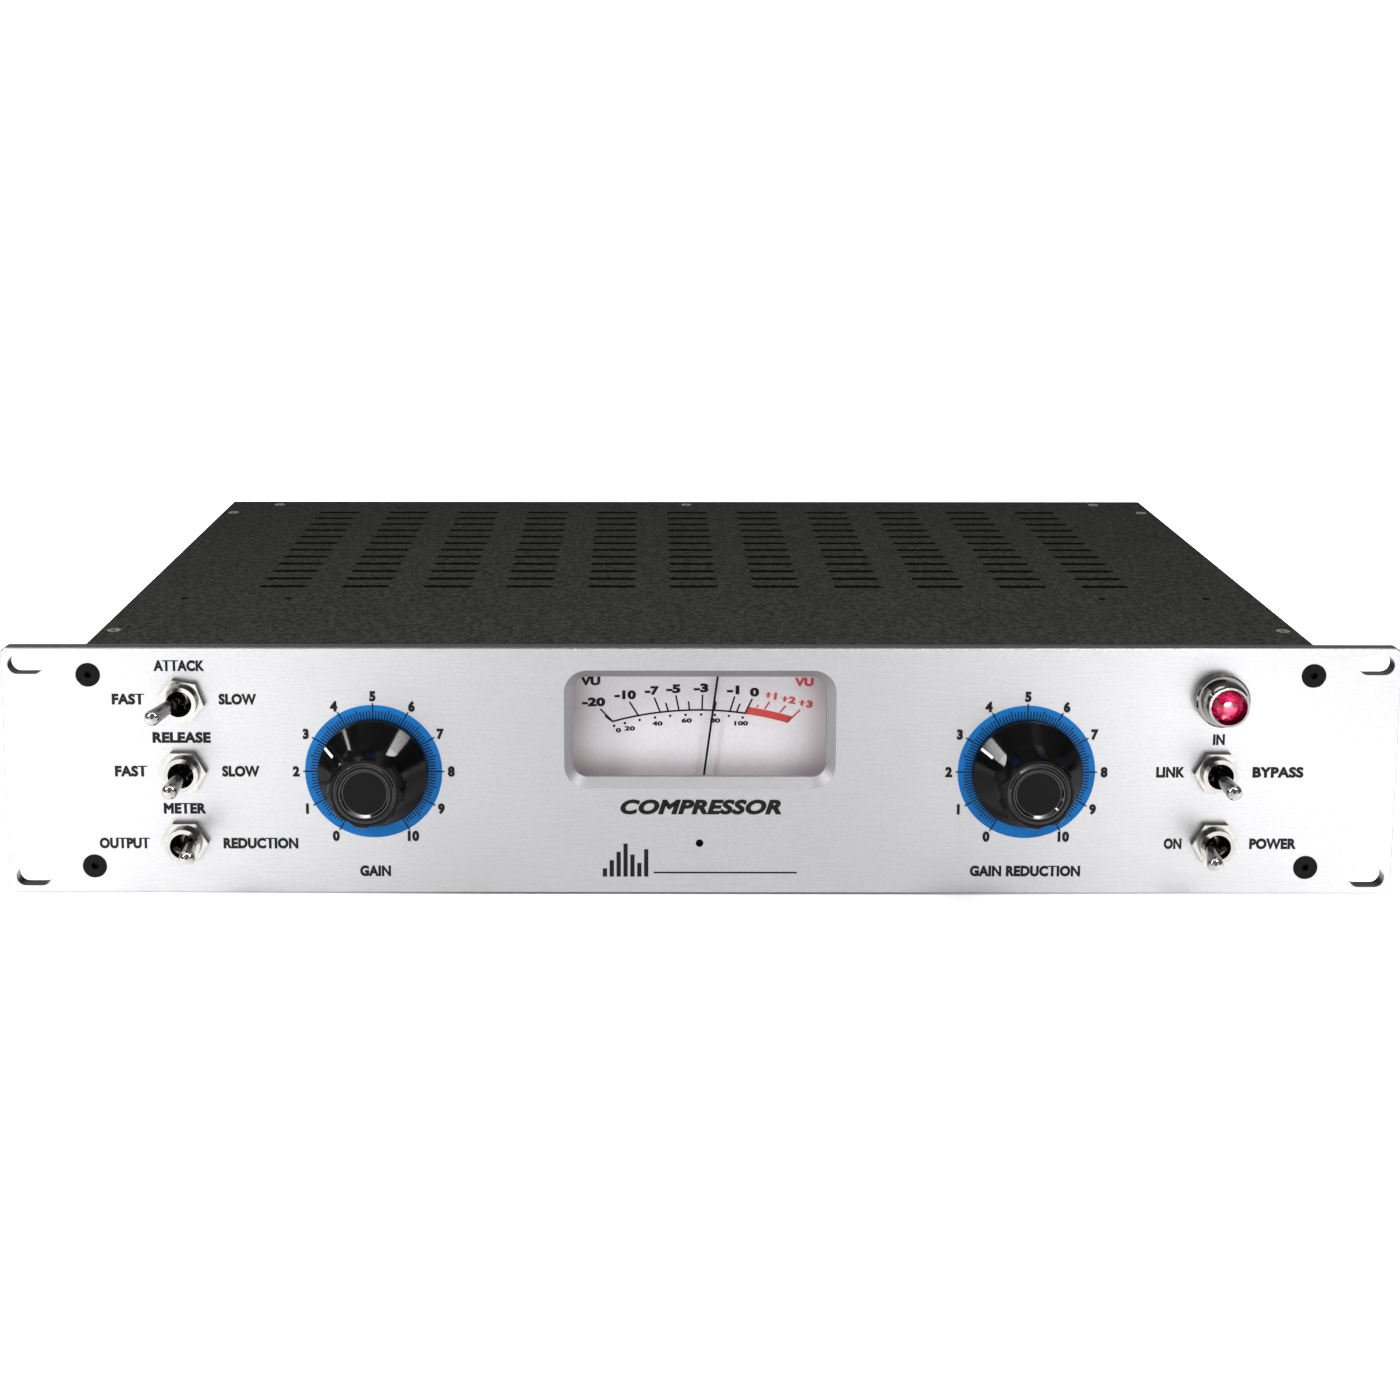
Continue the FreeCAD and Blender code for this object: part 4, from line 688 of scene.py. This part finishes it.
# The rule's two ends, and the row of level bars to its left, whose numbers are in millimetres.
RULE_X = (-16 * MM, 34 * MM)
RULE_Z = -36.5 * MM
RULE_WIDE = 0.6 * MM
LEVEL_BARS = (3, 6, 9, 12, 8, 5, 10)
LEVEL_BARS_X = -33
LEVEL_BARS_FOOT = -38
LEVEL_BAR_PITCH = 2.4
LEVEL_BAR_WIDE = 1.5 * MM
REAR_LEGENDS = [("INPUT", "xlr_input"), ("OUTPUT", "xlr_output"), ("LINK", "link_jack"),
                ("SELECT", "voltage_selector"), ("FUSE", "fuse_holder"), ("MAINS", "mains_inlet")]
REAR_LEGEND_DROP = 5 * MM
REAR_LEGEND_TALL = 3 * MM


def make_legends():
    """Plain function names beside the controls, a plain title and a row of level bars."""
    legends = Print("panel_legends", "ink_black", FACE_Y)
    for words, x, z, width in LEGENDS:
        legends.words(words, (x * MM, z * MM), LEGEND_TALL, width * MM, bold=0.06)
    legends.words("COMPRESSOR", TITLE_AT, TITLE_TALL, TITLE_WIDE, bold=0.055, slant=0.25)
    legends.bar((RULE_X[0], RULE_Z), (RULE_X[1], RULE_Z), RULE_WIDE)
    for step, height in enumerate(LEVEL_BARS):
        x = (LEVEL_BARS_X + LEVEL_BAR_PITCH * step) * MM
        legends.bar((x, LEVEL_BARS_FOOT * MM), (x, (height + LEVEL_BARS_FOOT) * MM), LEVEL_BAR_WIDE)
    legends.done("chassis")

    rear_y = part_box("rear_panel")[1][1]
    rear = Print("rear_legends", "ink_white", rear_y, facing=1)
    for words, node in REAR_LEGENDS:
        place = (centre_of(node)[0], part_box(node)[0][2] - REAR_LEGEND_DROP)
        rear.words(words, place, REAR_LEGEND_TALL, bold=0.02)
    rear.done("chassis")


# ---------------------------------------------------------------- meter face

# The scale's arc and the needle's pivot, as (x, z) in millimetres.
ARC_CENTRE = (0.0, -94.2)
ARC_RADIUS = 112.5
PIVOT = (0.0, -17.5)
# Needle angles in degrees.
SCALE_START = -43.9
SCALE_ZERO = 25.0
SCALE_END = 44.6
# Needle angle of each graduation, then its label's centre x, centre z and width in millimetres.
VU_LEVELS = {
    "-20": (SCALE_START, -37.1, 21.2, 8.2), "-10": (-32.3, -26.0, 23.8, 7.6),
    "-7": (-21.4, -16.6, 25.3, 5.0), "-5": (-11.3, -9.1, 26.0, 5.1), "-3": (1.6, 0.6, 26.3, 5.2),
    "-1": (17.0, 11.9, 25.6, 4.4), "0": (SCALE_ZERO, 19.4, 24.8, 3.3),
}
OVER_LEVELS = {
    "+1": (32.5, 25.1, 23.6, 4.3), "+2": (39.1, 31.3, 22.1, 5.3), "+3": (SCALE_END, 37.3, 20.7, 5.3),
}
HALF_LEVELS = (-17.1, -5.5, 8.6, 20.6)
HALF_LEVEL_OVER = 28.8
# Needle angle of each dot of the lower scale, and the labels' places.
PERCENT_DOTS = (-44.9, -40.1, -33.1, -25.2, -16.8, -8.0, 1.2, 9.2, 17.2, 24.8)
PERCENT_LABELS = {"0": (-28.4, 10.9, 1.9), "20": (-24.4, 11.6, 3.7), "40": (-14.7, 13.4, 3.7),
                  "60": (-4.4, 14.5, 3.7), "80": (5.6, 14.5, 3.7), "100": (14.8, 13.5, 4.9)}
# Inner edge of each band, outwards from the arc, and its width in millimetres.
ARC_LINE = (-0.3, 0.65)
RED_ZONE = (-0.25, 2.7)
# Where strokes start and end, outwards from the arc in millimetres.
LEVEL_FOOT = -0.25
OVER_FOOT = 2.65
LEVEL_TIP = 5.6
HALF_TIP = 3.2
HALF_TIP_OVER = 3.8
STROKE = 0.6 * MM
THIN_STROKE = 0.5 * MM
# The stroke that ends the arc on the left starts at this lift and runs this far aside and up.
HOOK_LIFT = -0.1
HOOK = (-2.8 * MM, 2.1 * MM)
DOT_LIFT = -1.65
DOT_RADIUS = 0.48 * MM
PERCENT_TALL = 1.4 * MM
UNIT_TALL = 2.6 * MM


def on_arc(angle, lift=0.0):
    """Where a ray from the needle's pivot meets the scale's arc, lifted outwards by lift mm."""
    ray = Vector((math.sin(math.radians(angle)), math.cos(math.radians(angle))))
    start = Vector(PIVOT) - Vector(ARC_CENTRE)
    along = start.dot(ray)
    reach = -along + math.sqrt(along * along - start.dot(start) + (ARC_RADIUS + lift) ** 2)
    point = Vector(PIVOT) + ray * reach
    return point.x * MM, point.y * MM


def scale_arc(ink, first, last, lift, width):
    """A stretch of the scale's arc, drawn between two needle angles."""
    steps = 24
    for step in range(steps):
        angles = [first + (last - first) * (step + part) / steps for part in (0, 1)]
        ink.shape([on_arc(angles[0], lift), on_arc(angles[1], lift),
                   on_arc(angles[1], lift + width), on_arc(angles[0], lift + width)])


def make_meter_face():
    """The printed scale: arc, graduations, red zone, level numbers and a lower 0 to 100 scale."""
    plate_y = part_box("meter_scale_plate")[0][1]
    black = Print("meter_scale_black", "ink_black", plate_y)
    red = Print("meter_scale_red", "ink_red", plate_y)
    scale_arc(black, SCALE_START, SCALE_ZERO, *ARC_LINE)
    scale_arc(red, SCALE_ZERO, SCALE_END, *RED_ZONE)
    for ink, levels, height, turn in ((black, VU_LEVELS, 2.7, 0), (red, OVER_LEVELS, 2.2, 8)):
        for text, (angle, x, z, width) in levels.items():
            foot = OVER_FOOT if SCALE_ZERO < angle < SCALE_END else LEVEL_FOOT
            ink.bar(on_arc(angle, foot), on_arc(angle, LEVEL_TIP), STROKE)
            ink.words(text, (x * MM, z * MM), height * MM, width * MM, bold=0.065, turn=turn)
    for angle in HALF_LEVELS:
        black.bar(on_arc(angle), on_arc(angle, HALF_TIP), STROKE)
    start = on_arc(SCALE_START, HOOK_LIFT)
    black.bar(start, (start[0] + HOOK[0], start[1] + HOOK[1]), STROKE)
    red.bar(on_arc(HALF_LEVEL_OVER, OVER_FOOT), on_arc(HALF_LEVEL_OVER, HALF_TIP_OVER), THIN_STROKE)
    for angle in PERCENT_DOTS:
        black.disc(on_arc(angle, DOT_LIFT), DOT_RADIUS, 12)
    for text, (x, z, width) in PERCENT_LABELS.items():
        black.words(text, (x * MM, z * MM), PERCENT_TALL, width * MM, bold=0.06)
    black.words("VU", (-38.2 * MM, 28.8 * MM), UNIT_TALL, 7.0 * MM, bold=0.07)
    red.words("VU", (36.8 * MM, 28.5 * MM), UNIT_TALL, 6.8 * MM, bold=0.07)
    black.done("chassis")
    red.done("chassis")


# ---------------------------------------------------------------- pointers and jewel

# The pointer's line down a knob's skirt, as distances from the axis and in front of the knob's back,
# half its width, and how deep it sinks and how far it stands proud, all in millimetres.
POINTER_LINE = [(18.75, 2.42), (18.4, 2.87), (15.0, 6.47)]
POINTER_HALF = 0.45
POINTER_LIFTS = (-0.05, 0.06)
# The number that both knobs point to at rest.
POINTER_AT = 3


def make_pointer(knob, body):
    """The white line on a knob's skirt, which points to its rest number on the dial."""
    x, z = centre_of(knob)
    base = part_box(knob)[1][1]
    angle = DIAL_START + STEPS_PER_NUMBER * DIAL_STEP * POINTER_AT
    turn = Matrix.Rotation(math.radians(angle), 4, "Y")
    shape = bmesh.new()
    rows = []
    for radius, height in POINTER_LINE:
        for lift in POINTER_LIFTS:
            row = [Vector((side * POINTER_HALF, -(height + lift), radius + lift)) for side in (-1, 1)]
            rows.append([shape.verts.new(Vector((x, base, z)) + (turn @ point) * MM) for point in row])
    lower = rows[0::2]
    upper = rows[1::2]
    for first in range(len(POINTER_LINE) - 1):
        second = first + 1
        shape.faces.new((upper[first][0], upper[first][1], upper[second][1], upper[second][0]))
        shape.faces.new((lower[first][0], lower[second][0], lower[second][1], lower[first][1]))
        for side in (0, 1):
            shape.faces.new((lower[first][side], lower[second][side], upper[second][side],
                             upper[first][side]))
    shape.faces.new((lower[0][0], lower[0][1], upper[0][1], upper[0][0]))
    shape.faces.new((lower[-1][0], upper[-1][0], upper[-1][1], lower[-1][1]))
    bmesh.ops.recalc_face_normals(shape, faces=shape.faces)
    add_piece(body + "_pointer", shape, "ink_white", body)


# Rings of the jewel's corners: parts of its radius and of its depth, and by how many facets a
# ring is turned.
JEWEL_RINGS = [(0.99, 0.0, 0), (0.99, 0.42, 0), (0.84, 0.72, 0.5), (0.52, 0.93, 0), (0.3, 1.0, 0.5)]
JEWEL_FACETS = 10


def make_jewel():
    """A faceted lens: a straight edge, bands of facets and a flat table."""
    low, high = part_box("lamp_jewel")
    centre = Vector(((low[0] + high[0]) / 2, high[1], (low[2] + high[2]) / 2))
    radius = (high[0] - low[0]) / 2
    depth = high[1] - low[1]
    shape = bmesh.new()
    for wide, forward, stagger in JEWEL_RINGS:
        for facet in range(JEWEL_FACETS):
            turn = 2 * math.pi * (facet + stagger) / JEWEL_FACETS
            shape.verts.new(centre + Vector((math.sin(turn) * wide * radius, -forward * depth,
                                             math.cos(turn) * wide * radius)))
    bmesh.ops.convex_hull(shape, input=shape.verts)
    jewel = add_piece("jewel_facets", shape, "red_jewel", "chassis")
    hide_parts("lamp_jewel")


make_dial("gain", "gain_knob")
make_dial("reduction", "reduction_knob")
make_legends()
make_meter_face()
make_pointer("gain_knob", "gain_knob")
make_pointer("reduction_knob", "reduction_knob")
make_jewel()


# ---------------------------------------------------------------- studio

# Half the floor's side and its gap under the object, in metres.
FLOOR_HALF = 6
FLOOR_GAP = 0.5 * MM
# A knob's skirt: the y where it catches the light in millimetres, and the angle that its surface
# makes with the front in degrees. The lights for it stand this far from it, and are this tall.
SKIRT_Y = -14
SKIRT_FLARE = 46.6
GLINT_FAR = 700
GLINT_TALL = 60
# The walls before and behind the object, the ceiling, and the room as the camera sees it.
WALL_FRONT = (0.055, 0.055, 0.058)
WALL_BACK = (0.27, 0.27, 0.27)
CEILING = (0.4, 0.4, 0.4, 1)
SEEN_ROOM = (1.15, 1.15, 1.15, 1)


def area_light(name, where, target, width, height, power, along=(1, 0, 0)):
    """A rectangular light aimed at a point, its width along a direction; places in millimetres."""
    data = bpy.data.lights.new(name, "AREA")
    data.shape = "RECTANGLE"
    data.size = width * MM
    data.size_y = height * MM
    data.energy = power
    light = bpy.data.objects.new(name, data)
    back = (Vector(where) - Vector(target)).normalized()
    side = (Vector(along) - back * back.dot(Vector(along))).normalized()
    frame_of_light = Matrix((side, back.cross(side), back)).transposed()
    light.matrix_world = Matrix.Translation(Vector(where) * MM) @ frame_of_light.to_4x4()
    light.visible_camera = False
    bpy.context.collection.objects.link(light)


def skirt_glint(name, knob, clock, width, power):
    """A narrow light where a knob's flared skirt mirrors it to the camera at a clock angle."""
    x, z = centre_of(knob)
    spot = Vector((x / MM, SKIRT_Y, z / MM))
    view = (Vector(CAMERA_AT) - spot).normalized()
    angle = math.radians(clock)
    flare = math.radians(SKIRT_FLARE)
    normal = Vector((math.sin(angle) * math.sin(flare), -math.cos(flare),
                     math.cos(angle) * math.sin(flare)))
    tangent = Vector((math.cos(angle), 0, -math.sin(angle)))
    toward = 2 * view.dot(normal) * normal - view
    area_light(name, spot + GLINT_FAR * toward, spot, width, GLINT_TALL, power, along=tangent)


def make_floor():
    """A flat sheet just under the object."""
    shape = bmesh.new()
    bmesh.ops.create_grid(shape, x_segments=1, y_segments=1, size=FLOOR_HALF)
    bmesh.ops.translate(shape, verts=shape.verts, vec=(0, 0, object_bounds()[0][2] - FLOOR_GAP))
    mesh = bpy.data.meshes.new("floor")
    shape.to_mesh(mesh)
    shape.free()
    mesh.materials.append(MATERIALS["floor"])
    floor = bpy.data.objects.new("floor", mesh)
    bpy.context.collection.objects.link(floor)


def make_room():
    """A dim room that the camera sees as white, so that chrome and gloss have contrast to show."""
    world = bpy.data.worlds.new("room")
    world.use_nodes = True
    tree = world.node_tree
    direction = add_node(tree, "TexCoord", "Generated", {})
    backwards = add_node(tree, "SeparateXYZ", "Y", {0: direction})
    upwards = add_node(tree, "SeparateXYZ", "Z", {0: direction})
    depth = add_node(tree, "MapRange", "Result", {"Value": backwards, "From Min": -1})
    walls = add_ramp(tree, depth, [(0.0, WALL_FRONT), (1.0, WALL_BACK)])
    room = add_mix(tree, upwards, walls, CEILING)
    from_camera = add_node(tree, "LightPath", "Is Camera Ray", {})
    tree.links.new(add_mix(tree, from_camera, room, SEEN_ROOM), tree.nodes["Background"].inputs["Color"])
    bpy.context.scene.world = world


def make_lights():
    """Soft boxes in front and above, a strip over the panel, and small glints on knobs and lamp."""
    # name, place, target, width, height and power
    area_light("left_box", (-820, -1250, 330), (-210, 0, 0), 620, 640, 2.0)
    area_light("right_box", (900, -1250, 330), (210, 0, 0), 620, 640, 2.1)
    area_light("top", (0, 300, 1300), (0, 100, 0), 1200, 900, 0.3)
    area_light("strip", (0, -80, 470), (0, -20, 0), 720, 25, 1.2)
    # name, knob, clock angle, width and power
    skirt_glint("gain_wide", "gain_knob", 38, 230, 2.4)
    skirt_glint("gain_thin", "gain_knob", -31, 45, 0.5)
    skirt_glint("reduction_wide", "reduction_knob", -51, 230, 2.4)
    area_light("jewel_glint", (233, -195, -29), (178.6, -15, 26.8), 6, 4, 0.008)


make_floor()
make_room()
make_lights()
bpy.context.scene.view_settings.view_transform = "Standard"
